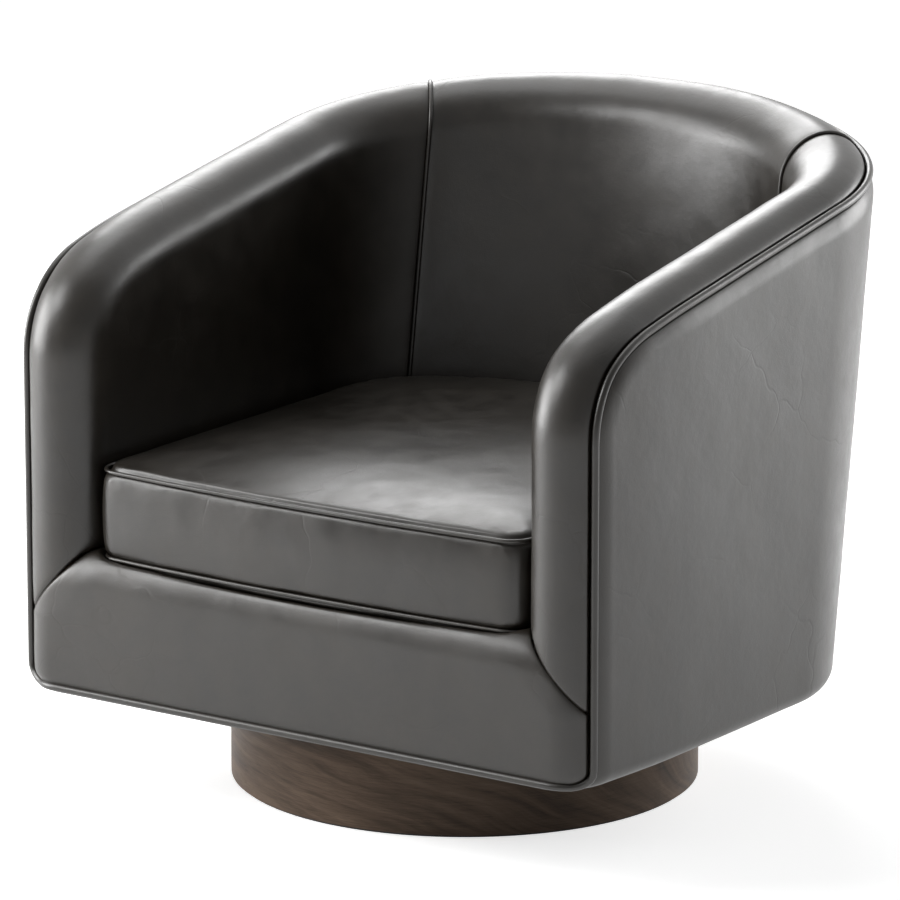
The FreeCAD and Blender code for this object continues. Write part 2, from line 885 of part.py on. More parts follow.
def cushion_zip():
    """The zip tape on the back of the cushion's border."""
    middle = (cushion_lower_seam_z + cushion_upper_seam_z) / 2.0
    surface = cushion_seam_inset - 0.75 * cushion_bulge - layer_gap
    spans = [(90.0 - zip_angle, 90.0), (90.0, 90.0 + zip_angle)]

    def lines(inset):
        return [[level_bend(cushion_off - inset, middle + side * zip_width / 2.0, a, b)
                 for a, b in spans] for side in (1.0, -1.0)]

    def faces(inset):
        return [net_face(list(rows)) for rows in zip(*lines(inset))]

    def outline(inset):
        top, low = lines(inset)
        return top + low + [line_poles(top[0][0], low[0][0]), line_poles(top[1][3], low[1][3])]

    return layer(faces, outline, surface - zip_thickness, surface)


def cylinder(radius, z0, z1, x=0.0, y=0.0):
    return Part.makeCylinder(radius, z1 - z0, V(x, y, z0))


def bolt_holes(radius, first):
    return Part.makeCompound(ring_of(cylinder(radius, 0.0, 300.0, bolt_circle), bolt_count, first))


def hexagon(radius, z0, z1, x):
    points = [V(x + radius * math.cos(math.radians(60 * i)), radius * math.sin(math.radians(60 * i)),
                z0) for i in range(7)]
    return Part.Face(Part.makePolygon(points)).extrude(V(0, 0, z1 - z0))


def swivel_plate(z, rib_z, pin_hole):
    """A round steel plate with two ribs that keep the balls on their track."""
    disc = cylinder(plate_radius, z, z + plate)
    near, far = ball_radius + ball_clear, ball_radius + ball_clear + race_rib
    for outer, inner in ((ball_ring_radius - near, ball_ring_radius - far),
                         (ball_ring_radius + far, ball_ring_radius + near)):
        rib = cylinder(outer, rib_z, rib_z + race_rib_height)
        disc = disc.fuse(rib.cut(cylinder(inner, rib_z - 1.0, rib_z + race_rib_height + 1.0)))
    disc = disc.removeSplitter()
    return disc.cut(cylinder(pin_hole, 0, 300)) if pin_hole else disc


def lower_plate():
    made = swivel_plate(drum_top_z, drum_top_z + plate, 0.0)
    return made.cut(bolt_holes(bolt_radius + hole_clear, 0.0))


def upper_plate():
    z = bottom_board_z - plate
    made = swivel_plate(z, z - race_rib_height, pin_radius + pin_clear)
    return made.cut(bolt_holes(bolt_radius + hole_clear, upper_bolt_turn))


def pivot_pin():
    foot_z, head_z = drum_top_z + plate, bottom_board_z + pin_clear
    flange = cylinder(pin_radius + 5.0, foot_z, foot_z + 1.5)
    shank = cylinder(pin_radius, foot_z, head_z)
    head = cylinder(pin_head_radius, head_z, head_z + pin_head)
    return flange.fuse([shank, head]).removeSplitter()


def balls():
    ball = Part.makeSphere(ball_radius, V(ball_ring_radius, 0, plate_mid_z))
    return ring_of(ball, ball_count)


def ball_cage():
    low, high = plate_mid_z - cage_thickness / 2.0, plate_mid_z + cage_thickness / 2.0
    ring = cylinder(ball_ring_radius + cage_half_width, low, high).cut(
        cylinder(ball_ring_radius - cage_half_width, low - 1.0, high + 1.0))
    hole = cylinder(ball_radius + ball_clear, low - 1.0, high + 1.0, ball_ring_radius)
    return ring.cut(Part.makeCompound(ring_of(hole, ball_count)))


def upper_bolts():
    """Bolts up through the upper plate and the bottom board."""
    low = bottom_board_z - plate
    bolt = cylinder(bolt_radius, low - 1.0, board_top_z + nut_height + 1.0, bolt_circle)
    bolt = bolt.fuse(cylinder(bolt_head_radius, low - bolt_head, low, bolt_circle)).removeSplitter()
    return ring_of(bolt, bolt_count, upper_bolt_turn)


def lower_bolts():
    """Bolts down through the lower plate and the top board of the base."""
    high = drum_top_z + plate
    low = drum_top_z - board - nut_height - 1.0
    bolt = cylinder(bolt_radius, low, high + 1.0, bolt_circle)
    bolt = bolt.fuse(cylinder(bolt_head_radius, high, high + bolt_head, bolt_circle)).removeSplitter()
    return ring_of(bolt, bolt_count)


def nuts(z, first):
    nut = hexagon(nut_radius, z, z + nut_height, bolt_circle)
    nut = nut.cut(cylinder(bolt_radius + hole_clear, z - 1.0, z + nut_height + 1.0, bolt_circle))
    return ring_of(nut, bolt_count, first)


def drum_shell():
    return cylinder(drum_radius, felt, drum_top_z).cut(cylinder(drum_inner_radius, 0, drum_top_z + 1))


def drum_top():
    disc = cylinder(drum_inner_radius - layer_gap, drum_top_z - board, drum_top_z)
    return disc.cut(bolt_holes(bolt_radius + hole_clear, 0.0))


def drum_bottom():
    return cylinder(drum_inner_radius - layer_gap, felt, felt + drum_floor)


def drum_brace(turned):
    """One of two boards on edge that cross under the top board, halved into each other."""
    low, high = felt + drum_floor, drum_top_z - board
    half = brace_thickness / 2.0
    length = drum_inner_radius - brace_end_gap
    middle = (low + high) / 2.0
    brace = box(-length, length, -half, half, low, high)
    notch_low, notch_high = (low, middle) if turned else (middle, high)
    brace = brace.cut(box(-half - layer_gap, half + layer_gap, -half, half, notch_low, notch_high))
    brace.rotate(V(0, 0, 0), V(0, 0, 1), 90.0 if turned else 0.0)
    relief = Part.makeCompound(ring_of(cylinder(nut_radius + 2.0, high - 2.0 * nut_height, high,
                                                bolt_circle), bolt_count))
    return brace.cut(relief)


def drum_blocks():
    """Glue blocks in the corner between the drum wall and its top board."""
    high = drum_top_z - board
    x = drum_inner_radius - drum_block_set_in
    half = drum_block_length / 2.0
    block = prism_y([(x, high), (x - drum_block_leg, high), (x, high - drum_block_leg)], -half, half)
    return ring_of(block, drum_block_count, 180.0 / drum_block_count)


def floor_felt():
    return cylinder(drum_radius - felt_margin, 0.0, felt)


def export(name, shape):
    """Write one node; a list is a group of separate solids."""
    shapes = shape if isinstance(shape, list) else [shape]
    solids = [solid for item in shapes for solid in item.Solids]
    body = solids[0] if len(solids) == 1 else Part.makeCompound(solids)
    body.exportStep(os.path.join("parts", name + ".step"))
    if not all(solid.isValid() and solid.Volume > 0.0 for solid in solids):
        print("check this node:", name)


def export_pair(name, right):
    """Write a piece of the right side and its mirror image on the left."""
    export(name + "_right", right)
    export(name + "_left", mirrored(right))


def main():
    os.makedirs("parts", exist_ok=True)
    export("base_floor_felt", floor_felt())
    export("base_bottom_board", drum_bottom())
    export("base_drum_wall", drum_shell())
    export("base_top_board", drum_top())
    export("base_brace_long", drum_brace(False))
    export("base_brace_cross", drum_brace(True))
    export("base_glue_blocks", drum_blocks())
    export("swivel_lower_plate", lower_plate())
    export("swivel_lower_bolts", lower_bolts())
    export("swivel_lower_nuts", nuts(drum_top_z - board - nut_height, 0.0))
    export("swivel_pivot_pin", pivot_pin())
    export("swivel_balls", balls())
    export("swivel_ball_cage", ball_cage())
    export("swivel_upper_plate", upper_plate())
    export("swivel_upper_bolts", upper_bolts())
    export("swivel_upper_nuts", nuts(board_top_z, upper_bolt_turn))
    export("dust_cover", dust_cover())
    export("frame_bottom_board", bottom_board())
    export_pair("frame_arm_panel", arm_panel())
    export("frame_top_rail", top_rail())
    export("frame_back_posts", back_posts())
    export("frame_front_board", front_board())
    export("frame_seat_board", seat_frame())
    export("frame_cleats", arm_cleats())
    export("frame_corner_blocks", corner_blocks())
    export("frame_screws", seat_screws())
    export("seat_springs", seat_springs())
    export("spring_clips", spring_clips())
    export("deck_pad", deck_pad_piece())
    export("deck_cover", deck_cover())
    export_pair("foam_arm", arm_foam())
    export("foam_back", back_foam())
    export("foam_front_rail", rail_foam())
    export_pair("cover_arm", arm_cover())
    export("cover_back", back_cover())
    export_pair("cover_side", side_cover())
    export("cover_outer_back", outer_back_cover())
    export("cover_front_rail", rail_cover())
    export("welt_outer", outer_welt())
    export("welt_front_rail", rail_welt())
    export_pair("welt_seam", seam_welt())
    export("cushion_core", cushion_core())
    export("cushion_top", cushion_top())
    export("cushion_border", cushion_border())
    export("cushion_bottom", cushion_bottom())
    export("cushion_welt_top", cushion_welt(cushion_upper_seam_z))
    export("cushion_welt_bottom", cushion_welt(cushion_lower_seam_z))
    export("cushion_zip", cushion_zip())


main()
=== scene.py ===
import math

import bmesh
import bpy
from mathutils import Matrix, Vector, noise


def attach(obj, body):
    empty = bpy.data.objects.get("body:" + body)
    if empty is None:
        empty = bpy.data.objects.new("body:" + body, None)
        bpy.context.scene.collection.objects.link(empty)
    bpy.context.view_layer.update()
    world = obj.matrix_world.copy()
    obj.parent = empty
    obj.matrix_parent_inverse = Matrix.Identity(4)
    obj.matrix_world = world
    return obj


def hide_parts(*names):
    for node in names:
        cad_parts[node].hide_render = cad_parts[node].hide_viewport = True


# The looks of the swivel barrel chair, in metres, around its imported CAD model. The chair faces
# -Y and turns about the Z axis. Covers follow the same wall as the CAD solids, drawn softer.

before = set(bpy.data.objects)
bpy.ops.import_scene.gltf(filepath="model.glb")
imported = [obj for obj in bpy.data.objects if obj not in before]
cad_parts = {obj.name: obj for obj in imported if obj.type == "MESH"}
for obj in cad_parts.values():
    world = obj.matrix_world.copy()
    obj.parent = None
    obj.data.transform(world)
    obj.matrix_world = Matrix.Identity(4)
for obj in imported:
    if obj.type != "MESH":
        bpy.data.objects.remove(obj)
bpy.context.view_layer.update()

# Tub wall, as in the CAD
arm_mid_x = 0.357
wall_half = 0.051
arm_front_y = -0.289
arm_corner_radius = 0.087
lean_ref_z = 0.700
back_centre_y = 0.170
back_centre_lean = 0.125
back_depth = 0.253
back_depth_lean = 0.036
crest_z = 0.633
crest_slope = 0.175
shell_bottom_z = 0.1185

# Seams
welt_angle = math.radians(34.0)
welt_cover = math.radians(4.2)
welt_radius = 0.0044
welt_out = 0.0019
seam_turn = math.radians(38.0)
seam_fan = math.radians(52.0)
seam_welt_radius = 0.0023
seam_welt_out = -0.0003
outer_seam_turn = math.radians(62.0)
tuck_depth = 0.0021
tuck_width = 0.0055
inner_reach = 0.30
outer_reach = 0.33

# Front rail and lower edge
rail_roll_z = 0.246
seat_z = 0.273
deck_front_y = -0.240
edge_round = 0.022
edge_top_z = shell_bottom_z + edge_round
front_welt_z = 0.1228
front_corner = edge_top_z - front_welt_z
hem_width = 0.016
skin = 0.002
weld = 2e-5

# Seat cushion
cushion_off = -0.0564
cushion_front_y = -0.333
cushion_front_bow = 0.012
cushion_corner = 0.028
lower_seam_z = 0.283
upper_seam_z = 0.386
cushion_welt_radius = 0.0024
cushion_welt_inset = 0.0040
swell_voxel = 0.005
swell_pressure = 4.0
swell_frames = 20
swell_beside = 0.0016
swell_free = 0.0124
sew_depth = 0.0034
sew_width = 0.0042
back_crown = 0.006

# Under the tub, and the cushion's zip
dust_hole = 0.152
zip_z = 0.3345
zip_start = 0.404
zip_width = 0.024
zip_proud = 0.0022
tooth_pitch = 0.0034
tooth_size = (0.0020, 0.0014, 0.0052)
slider_size = (0.0100, 0.0022, 0.0085)
pull_size = (0.0050, 0.0012, 0.0240)
pull_drop = 0.013

crest_angle = math.atan(crest_slope)
corner_end = math.pi / 2.0 + crest_angle
corner_y = arm_front_y + arm_corner_radius
corner_end_y = corner_y + arm_corner_radius * math.cos(corner_end)
corner_z = crest_z + crest_slope * corner_end_y - arm_corner_radius * math.sin(corner_end)

# Shares of the arm's edge taken by its front, its corner, its slope and its bend
run_stops = (0.0, 0.26, 0.38, 0.78, 1.0)
corner_share = 0.32


def smooth(low, high, value):
    t = min(max((value - low) / (high - low), 0.0), 1.0)
    return t * t * (3.0 - 2.0 * t)


def soft_min(a, b, reach):
    h = min(max(0.5 + 0.5 * (b - a) / reach, 0.0), 1.0)
    return b + (a - b) * h - reach * h * (1.0 - h)


def tuck(distance):
    """How far leather is drawn in at this distance from a seam."""
    return -tuck_depth * math.exp(-max(distance, 0.0) / tuck_width)


def wall_level(z):
    """Centre and depth of the back's ellipse at a height."""
    drop = lean_ref_z - z
    return back_centre_y - back_centre_lean * drop, back_depth - back_depth_lean * drop


def wall_point(turn, off, z):
    """A point of the wall. The turn is the back's ellipse angle; below zero it is on the arm."""
    centre, depth = wall_level(z)
    if turn < 0.0:
        return Vector((arm_mid_x + off, centre + (depth + off) * turn, z))
    return Vector(((arm_mid_x + off) * math.cos(turn), centre + (depth + off) * math.sin(turn), z))


def edge_z(turn):
    """Height of the roll's centre line above the wall at a turn of the back."""
    s = math.sin(turn)
    centre, depth = wall_level(crest_z)
    y = (centre + depth * s) / (1.0 - (back_centre_lean + back_depth_lean * s) * crest_slope)
    return crest_z + crest_slope * y


def seam_at(off):
    """Turn of the seam between arm and back, which fans out over the roll."""
    return seam_turn + seam_fan * off


def edge_point(share, off, rise, foot, seam):
    """A point along the arm's edge, from its front foot round to a turn of the back."""
    run = max(i for i in range(4) if share >= run_stops[i] - 1e-6)
    t = (share - run_stops[run]) / (run_stops[run + 1] - run_stops[run])
    if run == 0:
        return Vector((arm_mid_x + off, arm_front_y - rise, foot + (corner_z - foot) * t))
    if run == 1:
        a = math.pi + (corner_end - math.pi) * t
        radius = arm_corner_radius + rise
        return Vector((arm_mid_x + off, corner_y + radius * math.cos(a),
                       corner_z + radius * math.sin(a)))
    if run == 2:
        start = edge_point(run_stops[2] - 2e-6, off, rise, foot, seam)
        return start.lerp(wall_point(0.0, off, edge_z(0.0) + rise), t)
    return wall_point(seam * t, off, edge_z(seam * t) + rise)


def bow_in(p):
    """Arms close in a little towards their fronts."""
    t = min(max((-0.100 - p.y) / 0.190, 0.0), 1.0)
    p.x -= 0.0070 * t * t * p.x / arm_mid_x
    return p


def ease_corner(p):
    """The arm's front corner is fuller below and falls away sooner above than a plain arc."""
    y, z = p.y - corner_y, p.z - corner_z
    radius = math.hypot(y, z)
    angle = math.degrees(math.atan2(z, y))
    fall = 0.0070 * math.exp(-((angle - 112.0) / 28.0) ** 2) * min(radius / 0.138, 1.3) ** 2
    if radius > 0.01:
        p.y -= y / radius * fall
        p.z -= z / radius * fall
    return p


def edge_inset(z):
    """How far the rounded lower edge is drawn in at a height."""
    drop = min(max(edge_top_z - z, 0.0), edge_round)
    return edge_round - math.sqrt(edge_round ** 2 - drop ** 2)


def round_corner(p):
    """The rounded lower edge, at the tub's front corners."""
    weight = smooth(0.325, 0.396, abs(p.x))
    p.x -= math.copysign(edge_inset(p.z) * weight, p.x)
    return p


def settle(p):
    return bow_in(ease_corner(p))


def welt_line_angle(z, angle):
    """Roll angle of a line beside the outer welt, which turns in along the bottom of the front."""
    drop = min(max(edge_top_z - z, 0.0), front_corner)
    return angle + (front_corner - math.sqrt(front_corner ** 2 - drop ** 2)) / wall_half


def cushion_gap(x, y):
    """Distance in plan outside the cushion's round front corner."""
    half = arm_mid_x + cushion_off
    front = cushion_front_y + cushion_front_bow * (x / half) ** 2
    across = abs(x) - half + cushion_corner
    along = front + cushion_corner - y
    return math.hypot(max(across, 0.0), max(along, 0.0)) - cushion_corner


def pressed(p):
    """The rail's leather gives way under the cushion."""
    limit = seat_z + 0.016 * smooth(-0.007, 0.007, cushion_gap(p.x, p.y))
    p.z = soft_min(p.z, limit, 0.006)
    return p


def rail_foot(angle):
    """Height of the mitre seam at a roll angle of the arm's front."""
    p = Vector((arm_mid_x + wall_half * math.cos(angle), arm_front_y - wall_half * math.sin(angle),
                rail_roll_z - wall_half * math.cos(angle)))
    return pressed(p).z if angle > math.pi / 2.0 else p.z


# Meshes

def patch(bm, columns, rows, place):
    """A grid whose corners run from 0 to 1 both ways, laid where place says."""
    made = bmesh.ops.create_grid(bm, x_segments=columns, y_segments=rows, size=0.5)
    for v in made["verts"]:
        v.co = place(min(max(v.co.x + 0.5, 0.0), 1.0), min(max(v.co.y + 0.5, 0.0), 1.0))


def joined(bm, way):
    """Welds a piece's patches and turns its faces outwards; its farthest face looks that way."""
    bmesh.ops.remove_doubles(bm, verts=bm.verts, dist=weld)
    bmesh.ops.recalc_face_normals(bm, faces=bm.faces)
    farthest = max(bm.faces, key=lambda f: f.calc_center_median().dot(way))
    if farthest.normal.dot(way) < 0.0:
        bmesh.ops.reverse_faces(bm, faces=bm.faces)


def uneven(bm, height, size, seed):
    """Soft unevenness of padding under leather."""
    bm.normal_update()
    moves = []
    for v in bm.verts:
        place = v.co / size + Vector((seed, 0.0, 0.0))
        moves.append(v.normal * height * (noise.noise(place) + 0.4 * noise.noise(place * 2.7)))
    for v, move in zip(bm.verts, moves):
        v.co += move


def flip_side(bm):
    bmesh.ops.scale(bm, vec=(-1.0, 1.0, 1.0), verts=bm.verts)
    bmesh.ops.reverse_faces(bm, faces=bm.faces)


def make(name, bm, finish, body, stands_for=(), thickness=0.0, levels=0):
    mesh = bpy.data.meshes.new(name)
    bm.to_mesh(mesh)
    bm.free()
    mesh.shade_smooth()
    mesh.materials.append(finish)
    made = bpy.data.objects.new(name, mesh)
    bpy.context.scene.collection.objects.link(made)
    if thickness > 0.0:
        wall = made.modifiers.new("leather", "SOLIDIFY")
        wall.thickness = thickness
        wall.offset = -1.0
    if levels > 0:
        finer = made.modifiers.new("finer", "SUBSURF")
        finer.levels = finer.render_levels = levels
    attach(made, body)
    if stands_for:
        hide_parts(*stands_for)
    return made


def cord(name, points, radius, finish, body, stands_for, closed=False):
    """A round piping cord along a line of points, as a mesh."""
    curve = bpy.data.curves.new(name + "_line", "CURVE")
    curve.dimensions = "3D"
    curve.bevel_depth = radius
    curve.bevel_resolution = 4
    curve.use_fill_caps = not closed
    line = curve.splines.new("POLY")
    line.points.add(len(points) - 1)
    for place, p in zip(line.points, points):
        place.co = (*p, 1.0)
    line.use_cyclic_u = closed
    drawn = bpy.data.objects.new(name + "_line", curve)
    bpy.context.scene.collection.objects.link(drawn)
    bm = bmesh.new()
    bm.from_mesh(bpy.data.meshes.new_from_object(drawn))
    bpy.data.objects.remove(drawn)
    bmesh.ops.remove_doubles(bm, verts=bm.verts, dist=1e-6)
    bmesh.ops.recalc_face_normals(bm, faces=bm.faces)
    return make(name, bm, finish, body, stands_for)


def spaced(points, gap, closed=False):
    """The same line with points an even gap apart."""
    line = points + points[:1] if closed else points
    runs = [0.0]
    for a, b in zip(line, line[1:]):
        runs.append(runs[-1] + (b - a).length)
    count = max(int(runs[-1] / gap), 2)
    even, k = [], 0
    for i in range(count if closed else count + 1):
        reach = runs[-1] * i / count
        while k < len(runs) - 2 and runs[k + 1] < reach:
            k += 1
        span = runs[k + 1] - runs[k]
        even.append(line[k].lerp(line[k + 1], (reach - runs[k]) / span if span else 0.0))
    return even


# Materials

class Value:
    """A shader socket that can be worked with like a number."""

    def __init__(self, shader, socket):
        self.shader = shader
        self.socket = socket

    def maths(self, kind, *others):
        return self.shader.node("ShaderNodeMath", {"operation": kind}, *others)

    def __add__(self, other):
        return self.maths("ADD", self, other)

    def __sub__(self, other):
        return self.maths("SUBTRACT", self, other)

    def __mul__(self, other):
        return self.maths("MULTIPLY", self, other)

    def __radd__(self, other):
        return self.maths("ADD", other, self)

    def __rsub__(self, other):
        return self.maths("SUBTRACT", other, self)

    def __rmul__(self, other):
        return self.maths("MULTIPLY", other, self)


class Finish:
    """A material whose nodes are written as expressions."""

    def __init__(self, name):
        self.material = bpy.data.materials.new(name)
        self.material.use_nodes = True
        self.tree = self.material.node_tree
        self.shader = self.tree.nodes["Principled BSDF"]
        self.place = self.node("ShaderNodeTexCoord", {}, out="Object")

    def node(self, kind, settings, *values, out=0, **named):
        """Adds a node: its settings first, then the values or links of its sockets."""
        node = self.tree.nodes.new(kind)
        for key, value in settings.items():
            if key == "stops":
                while len(node.color_ramp.elements) < len(value):
                    node.color_ramp.elements.new(0.5)
                for stop, (where, colour) in zip(node.color_ramp.elements, value):
                    stop.position = where
                    stop.color = (*colour, 1.0) if len(colour) == 3 else colour
            else:
                setattr(node, key, value)
        for key, value in [*enumerate(values), *named.items()]:
            self.put(node.inputs[key.replace("_", " ") if isinstance(key, str) else key], value)
        return Value(self, node.outputs[out])

    def put(self, socket, value):
        if isinstance(value, Value):
            self.tree.links.new(value.socket, socket)
        elif isinstance(value, (tuple, list)) and socket.type == "RGBA" and len(value) == 3:
            socket.default_value = (*value, 1.0)
        else:
            socket.default_value = value

    def set(self, **values):
        for key, value in values.items():
            self.put(self.shader.inputs[key.replace("_", " ")], value)

    def scaled(self, x, y, z, place=None):
        return self.node("ShaderNodeVectorMath", {"operation": "MULTIPLY"},
                         place or self.place, (x, y, z))

    def noise(self, scale, detail=3.0, rough=0.5, place=None, distort=0.0):
        return self.node("ShaderNodeTexNoise", {}, Vector=place or self.place, Scale=scale,
                         Detail=detail, Roughness=rough, Distortion=distort)

    def cells(self, scale, feature="F1", place=None, out="Distance"):
        return self.node("ShaderNodeTexVoronoi", {"feature": feature}, Vector=place or self.place,
                         Scale=scale, out=out)

    def fit(self, value, low, high, to_low=0.0, to_high=1.0):
        """Maps a range of a value to another range, clamped."""
        return self.node("ShaderNodeMapRange", {"clamp": True}, value, low, high, to_low, to_high)

    def mix(self, share, a, b):
        node = self.tree.nodes.new("ShaderNodeMix")
        node.data_type = "RGBA"
        self.put(node.inputs[0], share)
        self.put(node.inputs[6], a)
        self.put(node.inputs[7], b)
        return Value(self, node.outputs[2])

    def bump(self, height, distance, strength=1.0, under=None):
        values = {"Strength": strength, "Distance": distance, "Height": height}
        if under is not None:
            values["Normal"] = under
        return self.node("ShaderNodeBump", {}, **values)


def leather_finish(name, colour, seed=0.0):
    """Smooth dyed hide: cloudy colour, a fine pebble, faint creases and scuffs."""
    f = Finish(name)
    here = f.node("ShaderNodeVectorMath", {"operation": "ADD"}, f.place, (seed, seed * 0.7, 0.0))
    cloud = f.noise(6.0, 4.0, 0.55, here)
    blotch = f.noise(34.0, 4.0, 0.6, here)
    fine = f.noise(420.0, 3.0, 0.6, here)
    pebble = f.cells(950.0, "F1", here)
    warped = f.node("ShaderNodeVectorMath", {"operation": "ADD"}, here,
                    f.node("ShaderNodeVectorMath", {"operation": "SCALE"},
                           f.node("ShaderNodeTexNoise", {}, Vector=here, Scale=9.0, Detail=3.0,
                                  out="Color"), Scale=0.10))
    vein = f.cells(8.5, "DISTANCE_TO_EDGE", warped)
    patchy = f.fit(f.noise(5.0, 2.0, 0.5, here), 0.52, 0.66)
    crease = f.fit(vein, 0.0, 0.016, 1.0, 0.0) * patchy
    scuff = f.fit(f.noise(1.0, 3.0, 0.6, f.scaled(14.0, 60.0, 20.0, warped)), 0.60, 0.74)
    tone = (cloud - 0.5) * 0.8 + (blotch - 0.5) * 0.7 + (fine - 0.5) * 0.15 + 0.5
    dark = tuple(c * 0.62 for c in colour)
    light = tuple(c * 1.45 for c in colour)
    f.set(Base_Color=f.mix(f.fit(tone - scuff * 0.06, 0.2, 0.8), dark, light),
          Roughness=f.fit(blotch * 0.55 + cloud * 0.45, 0.34, 0.66, 0.295, 0.415) + crease * 0.06
          + scuff * 0.02,
          Specular_IOR_Level=0.72)
    soft = f.bump(f.noise(38.0, 4.0, 0.55, here), 0.0016, 0.24)
    grain = f.bump(fine * 0.5 + pebble * 0.5 - crease * 1.2, 0.0004, 0.26, soft)
    f.set(Normal=grain)
    return f.material


def walnut_finish(name):
    """Dark walnut veneer wrapped round the drum, its grain level and one arched figure."""
    f = Finish(name)
    split = f.node("ShaderNodeSeparateXYZ", {}, f.place)
    x, y, z = (Value(f, split.socket.node.outputs[i]) for i in range(3))
    turn = f.node("ShaderNodeMath", {"operation": "ARCTAN2"}, x, y * -1.0)
    along = turn * 0.2745
    drift = f.noise(3.2, 2.0, 0.5, f.node("ShaderNodeCombineXYZ", {}, along, 0.0, z * 3.0))
    arch = f.node("ShaderNodeMath", {"operation": "POWER"}, along + 0.155, 2.0)
    level = z + (drift - 0.5) * 0.060 + arch * 0.55
    flat = f.node("ShaderNodeCombineXYZ", {}, along, level * 9.0, 0.0)
    bands = f.noise(6.0, 5.0, 0.62, flat, 0.3)
    fibre = f.noise(1.0, 4.0, 0.6, f.node("ShaderNodeCombineXYZ", {}, along * 22.0, z * 900.0,
                                           drift * 4.0))
    pore_place = f.node("ShaderNodeCombineXYZ", {}, along * 60.0, z * 2200.0, 3.0)
    pore = f.fit(f.noise(1.0, 2.0, 0.5, pore_place), 0.60, 0.72)
    tone = f.fit(bands * 0.75 + fibre * 0.25, 0.32, 0.68)
    warm = f.mix(tone, (0.036, 0.0225, 0.0150), (0.205, 0.145, 0.104))
    f.set(Base_Color=f.mix(pore * 0.55, warm, (0.010, 0.006, 0.004)),
          Roughness=f.fit(tone, 0.0, 1.0, 0.42, 0.52) + pore * 0.12,
          Specular_IOR_Level=0.14)
    f.set(Normal=f.bump(fibre * 0.5 - pore * 0.6, 0.0003, 0.3))
    return f.material


def wood_finish(name, dark, light, grain_axis=0, layers=0.0):
    """Plain frame timber; layers above zero draw the edge lines of plywood, that far apart."""
    f = Finish(name)
    scale = [60.0, 60.0, 60.0]
    scale[grain_axis] = 4.0
    streak = f.noise(1.0, 4.0, 0.6, f.scaled(*scale))
    fleck = f.noise(1.0, 2.0, 0.5, f.scaled(*[3.5 * s for s in scale]))
    tone = f.fit(streak * 0.7 + fleck * 0.3, 0.30, 0.70)
    colour = f.mix(tone, dark, light)
    if layers > 0.0:
        split = f.node("ShaderNodeSeparateXYZ", {}, f.place, out="Z")
        line = f.fit(f.node("ShaderNodeMath", {"operation": "PINGPONG"}, split, layers), 0.0,
                     layers * 0.30, 1.0, 0.0)
        colour = f.mix(line * 0.35, colour, tuple(0.45 * c for c in dark))
    f.set(Base_Color=colour, Roughness=f.fit(tone, 0.0, 1.0, 0.55, 0.70))
    f.set(Normal=f.bump(streak * 0.6 + fleck * 0.4, 0.0004, 0.3))
    return f.material


def metal_finish(name, colour, rough, brushed=False):
    f = Finish(name)
    place = f.scaled(30.0, 900.0, 900.0) if brushed else f.place
    smear = f.noise(1.0 if brushed else 160.0, 3.0, 0.6, place)
    stain = f.noise(28.0, 3.0, 0.6)
    f.set(Base_Color=f.mix(f.fit(stain, 0.35, 0.70), colour, tuple(0.78 * c for c in colour)),
          Roughness=f.fit(smear * 0.6 + stain * 0.4, 0.3, 0.7, rough * 0.85, rough * 1.25),
          Metallic=1.0)
    f.set(Normal=f.bump(smear, 0.0002, 0.12))
    return f.material


def cloth_finish(name, colour, pitch=0.0012, rough=0.9):
    """A plain weave or felt, drawn as crossed threads."""
    f = Finish(name)
    split = f.node("ShaderNodeSeparateXYZ", {}, f.place)
    x, y, z = (Value(f, split.socket.node.outputs[i]) for i in range(3))
    warp = f.node("ShaderNodeMath", {"operation": "SINE"}, (x + z) * (math.pi / pitch))
    weft = f.node("ShaderNodeMath", {"operation": "SINE"}, (y + z) * (math.pi / pitch))
    fuzz = f.noise(600.0, 3.0, 0.6)
    weave = f.fit(warp * weft, -1.0, 1.0) * 0.6 + fuzz * 0.4
    f.set(Base_Color=f.mix(weave, tuple(0.6 * c for c in colour), colour),
          Roughness=f.fit(fuzz, 0.3, 0.7, rough - 0.05, rough + 0.05))
    f.set(Normal=f.bump(weave, 0.0004, 0.4))
    return f.material


def foam_finish(name):
    f = Finish(name)
    cell = f.cells(700.0)
    tone = f.noise(14.0, 3.0)
    mottle = f.fit(cell * 0.6 + tone * 0.4, 0.2, 0.8)
    f.set(Base_Color=f.mix(mottle, (0.46, 0.40, 0.26), (0.62, 0.56, 0.40)),
          Roughness=f.fit(tone, 0.3, 0.7, 0.85, 0.95))
    f.set(Normal=f.bump(cell, 0.0006, 0.5))
    return f.material


def nylon_finish(name, colour):
    f = Finish(name)
    cloud = f.noise(90.0, 3.0)
    f.set(Base_Color=f.mix(f.fit(cloud, 0.3, 0.7), colour, tuple(0.85 * c for c in colour)),
          Roughness=f.fit(cloud, 0.3, 0.7, 0.38, 0.50))
    f.set(Normal=f.bump(f.noise(800.0, 2.0), 0.0001, 0.2))
    return f.material


